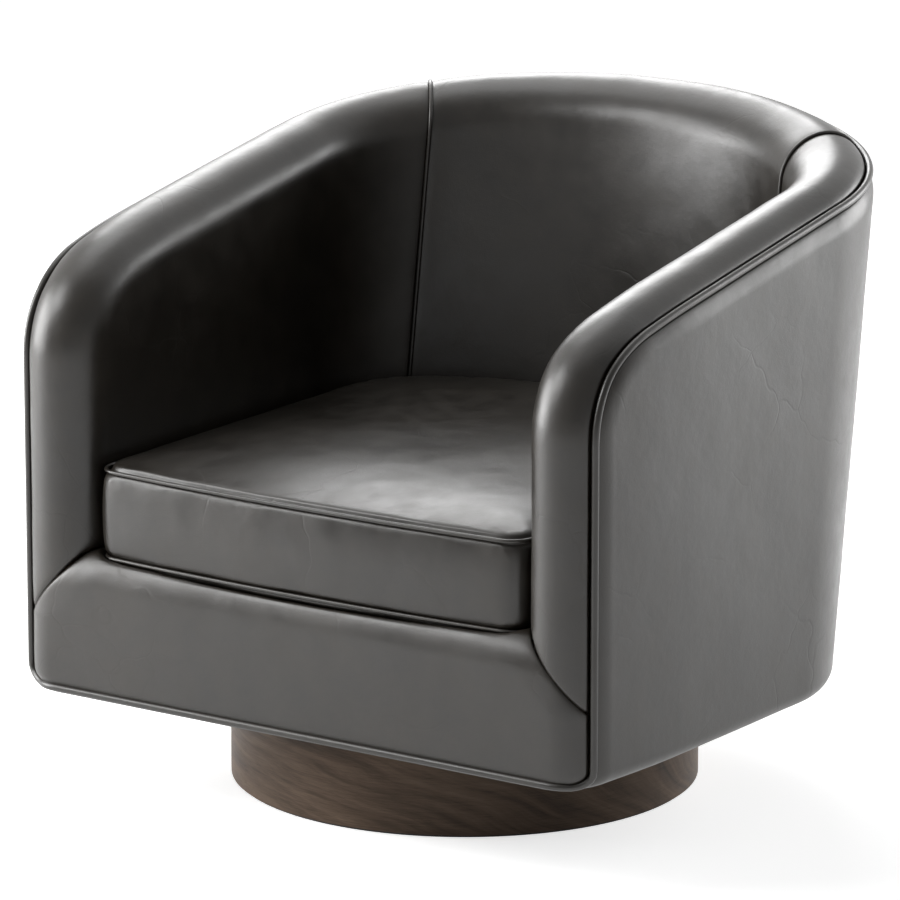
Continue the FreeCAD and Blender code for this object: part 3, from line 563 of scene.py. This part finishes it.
hide = (0.0172, 0.0138, 0.0098)
leather = leather_finish("charcoal_leather", hide)
cushion_leather = leather_finish("charcoal_leather_cushion", hide, 3.7)
back_leather_finish = leather_finish("charcoal_leather_back", hide, 8.1)
piping_leather = leather_finish("charcoal_leather_piping", tuple(0.92 * c for c in hide), 5.3)
walnut = walnut_finish("walnut_veneer")
plywood = wood_finish("birch_plywood", (0.36, 0.24, 0.14), (0.58, 0.43, 0.28), 1, 0.0015)
hardwood = wood_finish("beech_timber", (0.33, 0.20, 0.11), (0.50, 0.34, 0.20), 1)
plate_steel = metal_finish("zinc_plate", (0.52, 0.53, 0.55), 0.34, True)
bolt_steel = metal_finish("zinc_fastener", (0.58, 0.58, 0.57), 0.30)
ball_steel = metal_finish("polished_ball_steel", (0.66, 0.66, 0.67), 0.10)
spring_steel = metal_finish("dark_spring_steel", (0.20, 0.20, 0.21), 0.42)
nylon = nylon_finish("natural_nylon", (0.62, 0.60, 0.52))
felt = cloth_finish("grey_floor_felt", (0.10, 0.10, 0.10), 0.0020)
black_cloth = cloth_finish("black_dust_cloth", (0.022, 0.022, 0.024))
zip_cloth = cloth_finish("black_zip_tape", (0.018, 0.018, 0.019), 0.0009)
zip_metal = metal_finish("gunmetal_zip", (0.16, 0.155, 0.15), 0.32)
foam = foam_finish("seat_foam")

node_finish = {
    "base_drum_wall": walnut, "base_bottom_board": plywood, "base_top_board": plywood,
    "base_brace_long": plywood, "base_brace_cross": plywood, "base_glue_blocks": hardwood,
    "base_floor_felt": felt, "swivel_lower_plate": plate_steel, "swivel_upper_plate": plate_steel,
    "swivel_lower_bolts": bolt_steel, "swivel_upper_bolts": bolt_steel,
    "swivel_lower_nuts": bolt_steel, "swivel_upper_nuts": bolt_steel,
    "swivel_pivot_pin": bolt_steel, "swivel_balls": ball_steel, "swivel_ball_cage": nylon,
    "frame_bottom_board": plywood, "frame_arm_panel_right": plywood,
    "frame_arm_panel_left": plywood, "frame_top_rail": plywood, "frame_back_posts": hardwood,
    "frame_front_board": plywood, "frame_seat_board": plywood, "frame_cleats": hardwood,
    "frame_corner_blocks": hardwood, "frame_screws": bolt_steel, "seat_springs": spring_steel,
    "spring_clips": plate_steel, "cushion_zip": zip_cloth,
}
for name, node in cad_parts.items():
    finish = node_finish.get(name, leather if name.startswith(("cover", "welt", "cushion", "deck"))
                             else foam)
    node.data.materials.clear()
    node.data.materials.append(finish)


# Covers of the arms

def seam_gap(share, turn, reach):
    """Distance along the arm's edge to the seam at its rear end."""
    return (1.0 - share) / (1.0 - run_stops[3]) * turn * reach


def arm_point(share, angle):
    """The arm's leather over its roll, drawn in at its seams."""
    foot = rail_foot(angle)
    plain = edge_point(share, 0.0, 0.0, foot, seam_turn)
    draw = tuck((angle - welt_angle - welt_cover) * wall_half)
    draw += tuck(seam_gap(share, seam_at(-wall_half), inner_reach))
    if share < run_stops[1]:
        draw += tuck(plain.z - foot)
    radius = wall_half + draw
    off, rise = radius * math.cos(angle), radius * math.sin(angle)
    seam = seam_at(wall_half * math.cos(angle))
    return settle(edge_point(share, off, rise, foot, seam))


def flank_corner(share, off, foot):
    """Turn and height of the roll's inner or outer line at a share of the arm's edge."""
    if share >= run_stops[3]:
        turn = seam_at(off) if off < 0.0 else outer_seam_turn
        turn *= (share - run_stops[3]) / (1.0 - run_stops[3])
        return Vector((turn, edge_z(turn)))
    p = edge_point(share, off, 0.0, foot, 0.0)
    centre, depth = wall_level(p.z)
    return Vector(((p.y - centre) / (depth + off), p.z))


def flank_point(u, v, off, foot, low):
    """Turn and height inside the arm's flat side: u runs back, v runs up."""
    seam = seam_at(off) if off < 0.0 else outer_seam_turn
    start = flank_corner(0.0, off, foot)
    corner = flank_corner(corner_share, off, foot)
    end_high = Vector((seam, edge_z(seam)))
    end_low = Vector((seam, low))
    dip = (1.0 - min(u * 6.0, 1.0)) ** 2
    bottom = Vector((start.x + (seam - start.x) * u, low + (start.y - low) * dip))
    top = flank_corner(corner_share + (1.0 - corner_share) * u, off, foot)
    front = flank_corner(corner_share * v, off, foot)
    rear = end_low.lerp(end_high, v)
    corners = ((start * (1.0 - u) + end_low * u) * (1.0 - v)
               + (corner * (1.0 - u) + end_high * u) * v)
    return bottom * (1.0 - v) + top * v + front * (1.0 - u) + rear * u - corners


def arm_leather():
    bm = bmesh.new()
    first, last = welt_angle + welt_cover, math.pi
    patch(bm, 200, 26, lambda u, v: arm_point(u, first + (last - first) * v))
    foot = rail_foot(math.pi)
    low = seat_z - 0.012

    def inside(u, v):
        turn, z = flank_point(u, v, -wall_half, foot, low)
        draw = tuck((seam_at(-wall_half) - turn) * inner_reach)
        if turn < flank_corner(0.0, -wall_half, foot).x + 0.05:
            draw += tuck(z - foot) * (1.0 - min(u * 12.0, 1.0))
        return settle(wall_point(turn, -wall_half - draw, z))

    patch(bm, 136, 64, inside)
    joined(bm, Vector((0.0, 0.0, 1.0)))
    uneven(bm, 0.0008, 0.11, 1.0)
    return bm


def side_point(share, angle):
    draw = tuck((welt_angle - welt_cover - angle) * wall_half)
    draw += tuck(seam_gap(share, outer_seam_turn, outer_reach))
    radius = wall_half + draw
    off, rise = radius * math.cos(angle), radius * math.sin(angle)
    return settle(edge_point(share, off, rise, edge_top_z, outer_seam_turn))


def lower_edge(v):
    """Height and inset on the rounded lower edge, whose last part is turned under."""
    bend = min(v / 0.7, 1.0) * math.pi / 2.0
    inset = edge_round * (1.0 - math.cos(bend)) + hem_width * max(v - 0.7, 0.0) / 0.3
    return edge_top_z - edge_round * math.sin(bend), inset


def side_leather():
    """The outer side, from the welt down and round the lower edge."""
    bm = bmesh.new()
    last = welt_angle - welt_cover
    patch(bm, 200, 8, lambda u, v: side_point(u, last * v))

    def flat(u, v):
        turn, z = flank_point(u, v, wall_half, edge_top_z, edge_top_z)
        return settle(wall_point(turn, wall_half + tuck((outer_seam_turn - turn) * outer_reach), z))

    patch(bm, 136, 64, flat)

    def under_flank(u, v):
        z, inset = lower_edge(v)
        start = flank_corner(0.0, wall_half, edge_top_z).x
        turn = start + (outer_seam_turn - start) * u
        draw = tuck((outer_seam_turn - turn) * outer_reach)
        p = wall_point(turn, wall_half + draw - inset, z)
        if turn < 0.0:
            centre, depth = wall_level(edge_top_z)
            p.y = centre + (depth + wall_half) * turn
        return settle(p)

    def under_front(u, v):
        z, inset = lower_edge(v)
        angle = welt_line_angle(z, last) * u
        radius = wall_half + tuck((welt_line_angle(z, last) - angle) * wall_half)
        p = Vector((arm_mid_x + radius * math.cos(angle),
                    arm_front_y - radius * math.sin(angle), z))
        p.x -= inset * smooth(0.325, 0.396, p.x)
        return settle(p)

    patch(bm, 136, 20, under_flank)
    patch(bm, 8, 20, under_front)
    joined(bm, Vector((1.0, 0.0, 0.0)))
    uneven(bm, 0.0007, 0.13, 4.0)
    return bm


# Covers of the back

def back_leather():
    bm = bmesh.new()
    first = welt_angle + welt_cover
    roll_share = 0.30
    low = seat_z - 0.012

    def place(u, v):
        angle = first + (math.pi - first) * min(v / roll_share, 1.0)
        down = max(v - roll_share, 0.0) / (1.0 - roll_share)
        start = seam_at(wall_half * math.cos(angle))
        turn = start + (math.pi - 2.0 * start) * u
        gap = min(turn - start, math.pi - start - turn) * 0.33
        radius = wall_half + tuck(gap) + tuck((angle - first) * wall_half)
        off, rise = radius * math.cos(angle), radius * math.sin(angle)
        high = edge_z(turn)
        return settle(wall_point(turn, off, high + rise - (high - low) * down))

    patch(bm, 160, 90, place)
    joined(bm, Vector((0.0, 0.0, 1.0)))
    uneven(bm, 0.0010, 0.12, 7.0)
    return bm


def outer_back_leather():
    bm = bmesh.new()
    last = welt_angle - welt_cover

    def place(u, v):
        turn = outer_seam_turn + (math.pi - 2.0 * outer_seam_turn) * u
        gap = min(turn - outer_seam_turn, math.pi - outer_seam_turn - turn) * 0.30
        if v < 0.1:
            angle = last * (1.0 - v / 0.1)
            radius = wall_half + tuck(gap) + tuck((last - angle) * wall_half)
            return settle(wall_point(turn, radius * math.cos(angle),
                                     edge_z(turn) + radius * math.sin(angle)))
        if v < 0.8:
            t = (v - 0.1) / 0.7
            return settle(wall_point(turn, wall_half + tuck(gap),
                                     edge_z(turn) + (edge_top_z - edge_z(turn)) * t))
        z, inset = lower_edge((v - 0.8) / 0.2)
        return wall_point(turn, wall_half + tuck(gap) - inset, z)

    patch(bm, 80, 100, place)
    joined(bm, Vector((0.0, 1.0, 0.0)))
    uneven(bm, 0.0008, 0.13, 9.0)
    return bm


# Front rail

def front_line(reach, depth=0.0):
    """Plan place at a distance from the middle along the tub's front and round its corner."""
    radius = wall_half + depth
    side = math.copysign(1.0, reach)
    over = (abs(reach) - arm_mid_x) / wall_half
    if over <= 0.0:
        return Vector((reach, arm_front_y - radius, 0.0))
    return Vector((side * (arm_mid_x + radius * math.sin(over)),
                   arm_front_y - radius * math.cos(over), 0.0))


def rail_end(z):
    """Distance from the middle to the rail leather's end at a height of its front."""
    edge = welt_angle + welt_cover
    if z > rail_roll_z - wall_half * math.cos(edge):
        return arm_mid_x + wall_half * math.asin((rail_roll_z - z) / wall_half)
    return arm_mid_x + wall_half * (math.pi / 2.0 - welt_line_angle(z, edge))


def rail_leather():
    bm = bmesh.new()
    knee = rail_roll_z - wall_half * math.cos(welt_angle + welt_cover)
    stops = ((0.0, front_welt_z), (0.16, edge_top_z), (0.40, knee), (0.52, rail_roll_z))

    def place(u, v):
        side = 2.0 * u - 1.0
        if v <= stops[-1][0]:
            i = max(k for k in range(3) if v >= stops[k][0] - 1e-6)
            t = (v - stops[i][0]) / (stops[i + 1][0] - stops[i][0])
            z = stops[i][1] + (stops[i + 1][1] - stops[i][1]) * t
            end = rail_end(min(z, rail_roll_z - 1e-9))
            reach = side * end
            gap = end - abs(reach)
            swell = 0.0018 * math.sin(math.pi * (z - front_welt_z) / 0.17)
            draw = tuck(gap) + tuck(z - front_welt_z - welt_radius)
            p = front_line(reach, draw + swell * smooth(0.0, 0.05, gap))
            p.z = z
            return settle(round_corner(p))
        curl = min((v - 0.52) / 0.34, 1.0) * math.pi / 2.0
        back = max(v - 0.86, 0.0) / 0.14
        end = arm_mid_x - wall_half * math.sin(curl)
        reach = side * end
        gap = end - abs(reach)
        radius = wall_half + tuck(gap) + 0.0018 * math.sin(math.pi * (
            rail_roll_z - front_welt_z) / 0.17) * math.cos(curl) * smooth(0.0, 0.05, gap)
        p = Vector((reach, arm_front_y - radius * math.cos(curl)
                    + (deck_front_y + 0.004 - arm_front_y) * back,
                    rail_roll_z + radius * math.sin(curl)))
        return settle(pressed(p))

    patch(bm, 160, 50, place)
    joined(bm, Vector((0.0, -1.0, 0.0)))
    uneven(bm, 0.0008, 0.12, 12.0)
    return bm


def front_hem():
    """Leather turned under the front edge, below the welt."""
    bm = bmesh.new()

    def place(u, v):
        end = arm_mid_x + wall_half * (math.pi / 2.0 - welt_line_angle(0.0, welt_angle))
        p = front_line((2.0 * u - 1.0) * end, 0.001)
        p.z = front_welt_z - (front_welt_z - shell_bottom_z) * min(v / 0.15, 1.0)
        p = settle(round_corner(p))
        p.y += 0.040 * max(v - 0.15, 0.0) / 0.85
        return p

    patch(bm, 100, 12, place)
    joined(bm, Vector((0.0, -0.2, -1.0)))
    return bm


# Piping

def welt_path():
    """Right half of the outer welt, from the front's middle round to the back's middle."""
    radius = wall_half + welt_out
    points = []
    corner = arm_mid_x + wall_half * (math.pi / 2.0 - welt_angle)
    for i in range(60):
        p = front_line((corner - front_corner) * i / 60.0, welt_out - 0.0035)
        p.z = front_welt_z
        points.append(settle(round_corner(p)))
    for i in range(13):
        a = math.pi / 2.0 * i / 12.0
        reach = corner - front_corner + front_corner * math.sin(a)
        p = front_line(reach, welt_out - 0.0035 * (1.0 - i / 12.0))
        p.z = edge_top_z - front_corner * math.cos(a)
        points.append(settle(round_corner(p)))
    off, rise = radius * math.cos(welt_angle), radius * math.sin(welt_angle)
    for i in range(1, 241):
        points.append(settle(edge_point(i / 240.0, off, rise, edge_top_z, math.pi / 2.0)))
    return points


def seam_path():
    """The seam between the right arm and the back, over the roll and down inside."""
    radius = wall_half + seam_welt_out
    points = []
    for i in range(41):
        a = welt_angle + 0.05 + (math.pi - welt_angle - 0.05) * i / 40.0
        off, rise = radius * math.cos(a), radius * math.sin(a)
        turn = seam_at(off)
        points.append(settle(wall_point(turn, off, edge_z(turn) + rise)))
    turn = seam_at(-radius)
    high = edge_z(turn)
    for i in range(1, 61):
        points.append(settle(wall_point(turn, -radius, high + (seat_z - high) * i / 60.0)))
    return points


def other_side(points):
    return [Vector((-p.x, p.y, p.z)) for p in reversed(points)]


# Seat cushion

def cushion_outline(u, inset, z):
    """The cushion's outline in plan: u runs once round, from the middle of the front."""
    side = 1.0 if u <= 0.5 else -1.0
    t = 2.0 * u if u <= 0.5 else 2.0 - 2.0 * u
    off = cushion_off - inset
    half = arm_mid_x + off
    front = cushion_front_y + inset
    bow = (half * half + cushion_front_bow ** 2) / (2.0 * cushion_front_bow)
    radius = cushion_corner
    centre_y = front + bow - math.sqrt((bow - radius) ** 2 - (half - radius) ** 2)
    turn = math.atan2(centre_y - front - bow, half - radius)
    if t < 0.24:
        a = -math.pi / 2.0 + (turn + math.pi / 2.0) * t / 0.24
        p = Vector((bow * math.cos(a), front + bow + bow * math.sin(a), z))
    elif t < 0.30:
        a = turn * (1.0 - (t - 0.24) / 0.06)
        p = Vector((half - radius + radius * math.cos(a), centre_y + radius * math.sin(a), z))
    elif t < 0.64:
        heel = wall_point(0.0, off, z)
        p = Vector((half, centre_y, z)).lerp(heel, (t - 0.30) / 0.34)
    else:
        p = wall_point(math.pi / 2.0 * (t - 0.64) / 0.36, off, z)
    p.x *= side
    return p


def bow_cushion(p):
    t = min(max((-0.100 - p.y) / 0.190, 0.0), 1.0)
    p.x -= 0.0035 * t * t * p.x / arm_mid_x
    return p


cushion_profile = (
    (0.250, 0.2733), (0.150, 0.2733), (0.060, 0.2733), (0.020, 0.2734), (0.0110, 0.2740),
    (0.0068, 0.2762), (0.0060, 0.2800), (0.0074, 0.2828), (0.0040, 0.2860), (0.0018, 0.2930),
    (0.0006, 0.3080), (0.0000, 0.3345), (0.0006, 0.3600), (0.0018, 0.3740), (0.0042, 0.3825),
    (0.0080, 0.3862), (0.0086, 0.3895), (0.0122, 0.3932), (0.0210, 0.3966), (0.0400, 0.3994),
    (0.0750, 0.4014), (0.1150, 0.4024), (0.1500, 0.4030), (0.2500, 0.4032))


def profile_at(v):
    """A smooth line through the cushion's profile points."""
    last = len(cushion_profile) - 1
    k = min(int(v * last), last - 1)
    t = v * last - k
    p = [Vector(cushion_profile[min(max(k + i, 0), last)]) for i in (-1, 0, 1, 2)]
    return (p[1] * 2.0 + (p[2] - p[0]) * t + (p[0] * 2.0 - p[1] * 5.0 + p[2] * 4.0 - p[3]) * t * t
            + (p[1] * 3.0 - p[0] - p[2] * 3.0 + p[3]) * t ** 3) * 0.5


def seam_hold(p):
    """How firmly the cushion's cover is held at a point: sewn seams and the underside stay."""
    near = min(abs(p.z - upper_seam_z - 0.001), abs(p.z - lower_seam_z + 0.001))
    sewn = 1.0 - smooth(0.003, 0.009, near)
    return max(sewn, 1.0 - smooth(0.2745, 0.279, p.z))


def swollen(name, bm, hold, reach):
    """Blows a padded piece up as cloth and gives back its mesh; no point moves beyond its reach."""
    scene = bpy.context.scene
    mesh = bpy.data.meshes.new(name)
    bm.to_mesh(mesh)
    bm.free()
    pad = bpy.data.objects.new(name, mesh)
    scene.collection.objects.link(pad)
    even = pad.modifiers.new("even", "REMESH")
    even.mode = "VOXEL"
    even.voxel_size = swell_voxel
    seen = bpy.context.evaluated_depsgraph_get()
    pad.data = bpy.data.meshes.new_from_object(pad.evaluated_get(seen))
    pad.modifiers.remove(even)
    held = pad.vertex_groups.new(name="held")
    for v in pad.data.vertices:
        held.add([v.index], hold(v.co), "REPLACE")
    cloth = pad.modifiers.new("cloth", "CLOTH")
    cloth.settings.use_pressure = True
    cloth.settings.uniform_pressure_force = swell_pressure
    cloth.settings.vertex_group_mass = held.name
    cloth.settings.effector_weights.gravity = 0.0
    for frame_number in range(1, swell_frames + 1):
        scene.frame_set(frame_number)
    blown = pad.evaluated_get(bpy.context.evaluated_depsgraph_get()).to_mesh()
    moved = [v.co.copy() for v in blown.vertices]
    out = bmesh.new()
    out.from_mesh(pad.data)
    for v, place in zip(out.verts, moved):
        way = place - v.co
        room = reach(v.co)
        if way.length > 0.0:
            v.co += way * (room * math.tanh(way.length / room) / way.length)
    bpy.data.objects.remove(pad)
    scene.frame_set(1)
    return out


def cushion_reach(p):
    """How far the cushion may swell at a point: little towards the arms and the back."""
    free = max(1.0 - smooth(-0.310, -0.285, p.y), smooth(0.386, 0.395, p.z))
    return swell_beside + swell_free * free


def sew_in(p):
    """Draws the cover in along its two seams."""
    for seam in (upper_seam_z, lower_seam_z):
        draw = sew_depth * math.exp(-((p.z - seam) / sew_width) ** 2)
        flat = Vector((p.x, p.y + 0.02, 0.0))
        p -= flat.normalized() * draw
    return p


def seat_cushion():
    bm = bmesh.new()
    middle = Vector((0.0, -0.02, 0.0))
    plain = 0.150

    def place(u, v):
        inset, z = profile_at(v)
        p = cushion_outline(u, min(inset, plain), z)
        if inset > plain:
            centre = Vector((middle.x, middle.y, z))
            p = p.lerp(centre, (inset - plain) / 0.100)
        return bow_cushion(p)

    patch(bm, 360, 132, place)
    bmesh.ops.remove_doubles(bm, verts=bm.verts, dist=weld)
    bmesh.ops.recalc_face_normals(bm, faces=bm.faces)
    bm = swollen("seat_cushion_pad", bm, seam_hold, cushion_reach)
    for v in bm.verts:
        v.co = sew_in(v.co)
        v.co.z += back_crown * smooth(0.392, 0.400, v.co.z) * smooth(-0.10, 0.25, v.co.y)
    uneven(bm, 0.0009, 0.09, 15.0)
    return bm


def cushion_welt_line(z):
    return [bow_cushion(cushion_outline(i / 400.0, cushion_welt_inset, z)) for i in range(400)]


def zip_line(inset, z):
    reach = 1.0 - 2.0 * zip_start
    return [cushion_outline(zip_start + reach * i / 240.0, inset, z) for i in range(241)]


def zip_tape():
    """The zip's woven tape along the back of the cushion."""
    bm = bmesh.new()

    def place(u, v):
        return cushion_outline(zip_start + (1.0 - 2.0 * zip_start) * u, -zip_proud,
                               zip_z + zip_width * (v - 0.5))

    patch(bm, 120, 4, place)
    joined(bm, Vector((0.0, 1.0, 0.0)))
    return bm


def block(bm, place, along, size, drop=0.0):
    """A small block on the zip: its length, depth and height, and how far it hangs down."""
    out = along.cross(Vector((0.0, 0.0, -1.0))).normalized()
    rows = Matrix((along * size[0], -out * size[1], Vector((0.0, 0.0, size[2])))).transposed()
    bmesh.ops.create_cube(bm, size=1.0, matrix=Matrix.Translation(
        place - Vector((0.0, 0.0, drop))) @ rows.to_4x4())


def zip_teeth():
    """The zip's metal teeth, with its slider and pull at one end."""
    bm = bmesh.new()
    line = spaced(zip_line(-zip_proud - 0.0006, zip_z), tooth_pitch)
    for a, b in zip(line, line[1:]):
        block(bm, a, (b - a).normalized(), tooth_size)
    stop, after = line[6], line[7]
    for size, drop in ((slider_size, 0.0), (pull_size, pull_drop)):
        block(bm, stop, (after - stop).normalized(), size, drop)
    bmesh.ops.recalc_face_normals(bm, faces=bm.faces)
    return bm


# Cloths under the cushion and under the tub

def deck_cloth():
    """The black cloth platform that the cushion lies on."""
    bm = bmesh.new()
    off = -wall_half - 0.0005

    def place(u, v):
        side = 2.0 * u - 1.0
        turn = math.asin(min(abs(side), 1.0))
        rear = wall_point(math.pi / 2.0 - turn, off, seat_z)
        x = math.copysign(rear.x, side)
        y = deck_front_y + (rear.y - deck_front_y) * v
        fall = 0.0035 * (1.0 - side ** 4) * math.sin(math.pi * v)
        return bow_in(Vector((x, y, seat_z - 0.0005 - fall)))

    patch(bm, 90, 70, place)
    joined(bm, Vector((0.0, 0.0, 1.0)))
    return bm


def dust_outline(u, half, front, off, z):
    """The dust cover's outline in plan, once round from the middle of the front."""
    side = 1.0 if u <= 0.5 else -1.0
    t = 2.0 * u if u <= 0.5 else 2.0 - 2.0 * u
    corner = 0.030
    if t < 0.22:
        p = Vector(((half - corner) * t / 0.22, front, z))
    elif t < 0.28:
        a = -math.pi / 2.0 + math.pi / 2.0 * (t - 0.22) / 0.06
        p = Vector((half - corner + corner * math.cos(a), front + corner + corner * math.sin(a), z))
    elif t < 0.60:
        heel = wall_point(0.0, off, z)
        p = Vector((half, front + corner, z)).lerp(heel, (t - 0.28) / 0.32)
    else:
        p = wall_point(math.pi / 2.0 * (t - 0.60) / 0.40, off, z)
    p.x *= side
    return p


def dust_sheet():
    """Black cloth stapled under the frame, open round the swivel plate."""
    bm = bmesh.new()
    off = wall_half - 0.029
    z = shell_bottom_z - 0.0008
    half = arm_mid_x + off
    front = arm_front_y - off - 0.006

    def place(u, v):
        a = 2.0 * math.pi * u
        inner = Vector((dust_hole * math.sin(a), -dust_hole * math.cos(a), z))
        return inner.lerp(dust_outline(u, half, front, off, z), v)

    patch(bm, 200, 24, place)
    joined(bm, Vector((0.0, 0.0, -1.0)))
    return bm


right_arm = arm_leather()
left_arm = right_arm.copy()
flip_side(left_arm)
right_side = side_leather()
left_side = right_side.copy()
flip_side(left_side)
for side, arm, flank in (("right", right_arm, right_side), ("left", left_arm, left_side)):
    cover = make("arm_leather_" + side, arm, leather, "tub",
                 ("cover_arm_" + side, "foam_arm_" + side), skin)
    make("side_leather_" + side, flank, leather, "tub", ("cover_side_" + side,), skin)
cover = make("back_leather", back_leather(), back_leather_finish, "tub",
             ("cover_back", "foam_back"), skin)
make("outer_back_leather", outer_back_leather(), leather, "tub",
     ("cover_outer_back",), skin)
cover = make("rail_leather", rail_leather(), leather, "tub",
             ("cover_front_rail", "foam_front_rail"), skin)
make("front_hem", front_hem(), leather, "tub", (), skin)

half_welt = welt_path()
welt_loop = spaced(half_welt + other_side(half_welt)[1:-1], 0.006, True)
cord("outer_welt", welt_loop, welt_radius, piping_leather, "tub",
     ("welt_outer", "welt_front_rail"), True)
seam = spaced(seam_path(), 0.005)
cord("seam_welt_right", seam, seam_welt_radius, piping_leather, "tub",
     ("welt_seam_right",))
cord("seam_welt_left", other_side(seam), seam_welt_radius, piping_leather, "tub",
     ("welt_seam_left",))

cushion = make("seat_cushion", seat_cushion(), cushion_leather, "cushion",
               ("cushion_core", "cushion_top", "cushion_border", "cushion_bottom"), levels=1)
for name, z in (("top", upper_seam_z), ("bottom", lower_seam_z)):
    cord("cushion_piping_" + name, spaced(cushion_welt_line(z), 0.005, True), cushion_welt_radius,
         piping_leather, "cushion", ("cushion_welt_" + name,), True)

make("zip_tape", zip_tape(), zip_cloth, "cushion", ("cushion_zip",), 0.0006)
make("zip_teeth", zip_teeth(), zip_metal, "cushion")

deck = make("deck_cloth", deck_cloth(), black_cloth, "tub",
            ("deck_cover", "deck_pad"), skin)
dust = make("dust_sheet", dust_sheet(), black_cloth, "tub", ("dust_cover",))


# Studio: pale floor, soft lamps and the photograph's camera

def stage_finish(name, colour, glow):
    """Diffuse, with a little light of its own that only the camera and reflections see."""
    f = Finish(name)
    tree = f.tree
    path = tree.nodes.new("ShaderNodeLightPath")
    seen = Value(f, path.outputs["Is Camera Ray"]) + Value(f, path.outputs["Is Glossy Ray"])
    seen = f.node("ShaderNodeMath", {"operation": "ADD", "use_clamp": True}, seen,
                  Value(f, path.outputs["Is Transmission Ray"]))
    away = f.node("ShaderNodeVectorMath", {"operation": "LENGTH"}, f.place, out="Value")
    level = f.fit(away, 0.9, 3.0, glow, 0.93)
    f.set(Base_Color=colour, Roughness=1.0, Specular_IOR_Level=0.0)
    f.set(Emission_Color=f.mix(seen * level, (0.0, 0.0, 0.0), (1.0, 1.0, 1.0)),
          Emission_Strength=1.0)
    return f.material


def lamp(name, place, target, size, level):
    """A soft box of that size whose face is so many times as bright as white paper."""
    light = bpy.data.lights.new(name, "AREA")
    light.shape = "RECTANGLE"
    light.size, light.size_y = size
    light.energy = level * math.pi * size[0] * size[1]
    made = bpy.data.objects.new(name, light)
    made.location = place
    made.rotation_euler = (Vector(target) - Vector(place)).to_track_quat("-Z", "Y").to_euler()
    bpy.context.scene.collection.objects.link(made)
    return made


floor_bm = bmesh.new()
bmesh.ops.create_grid(floor_bm, x_segments=1, y_segments=1, size=30.0)
floor_mesh = bpy.data.meshes.new("floor")
floor_bm.to_mesh(floor_mesh)
floor_bm.free()
floor_mesh.materials.append(stage_finish("pale_floor", (0.86, 0.86, 0.86), 0.70))
floor = bpy.data.objects.new("floor", floor_mesh)
bpy.context.scene.collection.objects.link(floor)


def studio_world():
    """White behind and beside the chair, a dim room in front, and little light of its own."""
    world = bpy.data.worlds.new("studio")
    bpy.context.scene.world = world
    world.use_nodes = True
    nodes, links = world.node_tree.nodes, world.node_tree.links

    def maths(kind, a, b, clamp=False):
        node = nodes.new("ShaderNodeMath")
        node.operation = kind
        node.use_clamp = clamp
        for socket, value in zip(node.inputs, (a, b)):
            if isinstance(value, float):
                socket.default_value = value
            else:
                links.new(value, socket)
        return node.outputs[0]

    path = nodes.new("ShaderNodeLightPath").outputs
    mirrored = maths("ADD", path["Is Glossy Ray"], path["Is Transmission Ray"], True)
    toward = nodes.new("ShaderNodeVectorMath")
    toward.operation = "DOT_PRODUCT"
    links.new(nodes.new("ShaderNodeTexCoord").outputs["Generated"], toward.inputs[0])
    toward.inputs[1].default_value = (0.64, -0.77, 0.0)
    room = nodes.new("ShaderNodeMapRange")
    room.interpolation_type = "SMOOTHSTEP"
    links.new(toward.outputs["Value"], room.inputs["Value"])
    room_range = (("From Min", -0.05), ("From Max", 0.45), ("To Min", 1.0), ("To Max", 0.25))
    for socket, value in room_range:
        room.inputs[socket].default_value = value
    glossy = maths("MULTIPLY", mirrored, room.outputs[0])
    level = maths("ADD", maths("ADD", path["Is Camera Ray"], glossy, True), 0.10, True)
    back = nodes["Background"]
    back.inputs["Color"].default_value = (1.0, 1.0, 1.0, 1.0)
    links.new(level, back.inputs["Strength"])


def softbox(name, azimuth, elevation, size, level):
    """A soft box at an angle round from the chair's front towards its left and above the floor."""
    a, e = math.radians(azimuth), math.radians(elevation)
    way = Vector((-math.sin(a) * math.cos(e), -math.cos(a) * math.cos(e), math.sin(e)))
    return lamp(name, seat_middle + way * 2.9, seat_middle, size, level)


seat_middle = Vector((0.0, 0.0, 0.42))
studio_world()
softbox("soft_left", 64.0, 12.0, (1.7, 1.5), 9.6)
softbox("soft_left_high", 44.0, 38.0, (1.3, 0.9), 8.0)
softbox("soft_right_back", -150.0, 12.0, (1.5, 1.5), 6.6)
softbox("soft_back", 141.0, 29.0, (1.5, 1.2), 6.2)
softbox("soft_top", 120.0, 64.0, (1.5, 1.5), 1.8)

camera_data = bpy.data.cameras.new("camera")
camera_data.sensor_width = 36.0
camera_data.lens = 254.96
camera_data.clip_end = 60.0
camera = bpy.data.objects.new("camera", camera_data)
camera.location = (4.0985, -5.9143, 2.1597)
aim = Vector((-0.0142, -0.0099, 0.3864)) - camera.location
camera.rotation_euler = aim.to_track_quat("-Z", "Y").to_euler()
bpy.context.scene.collection.objects.link(camera)
bpy.context.scene.camera = camera
bpy.context.scene.view_settings.view_transform = "Standard"
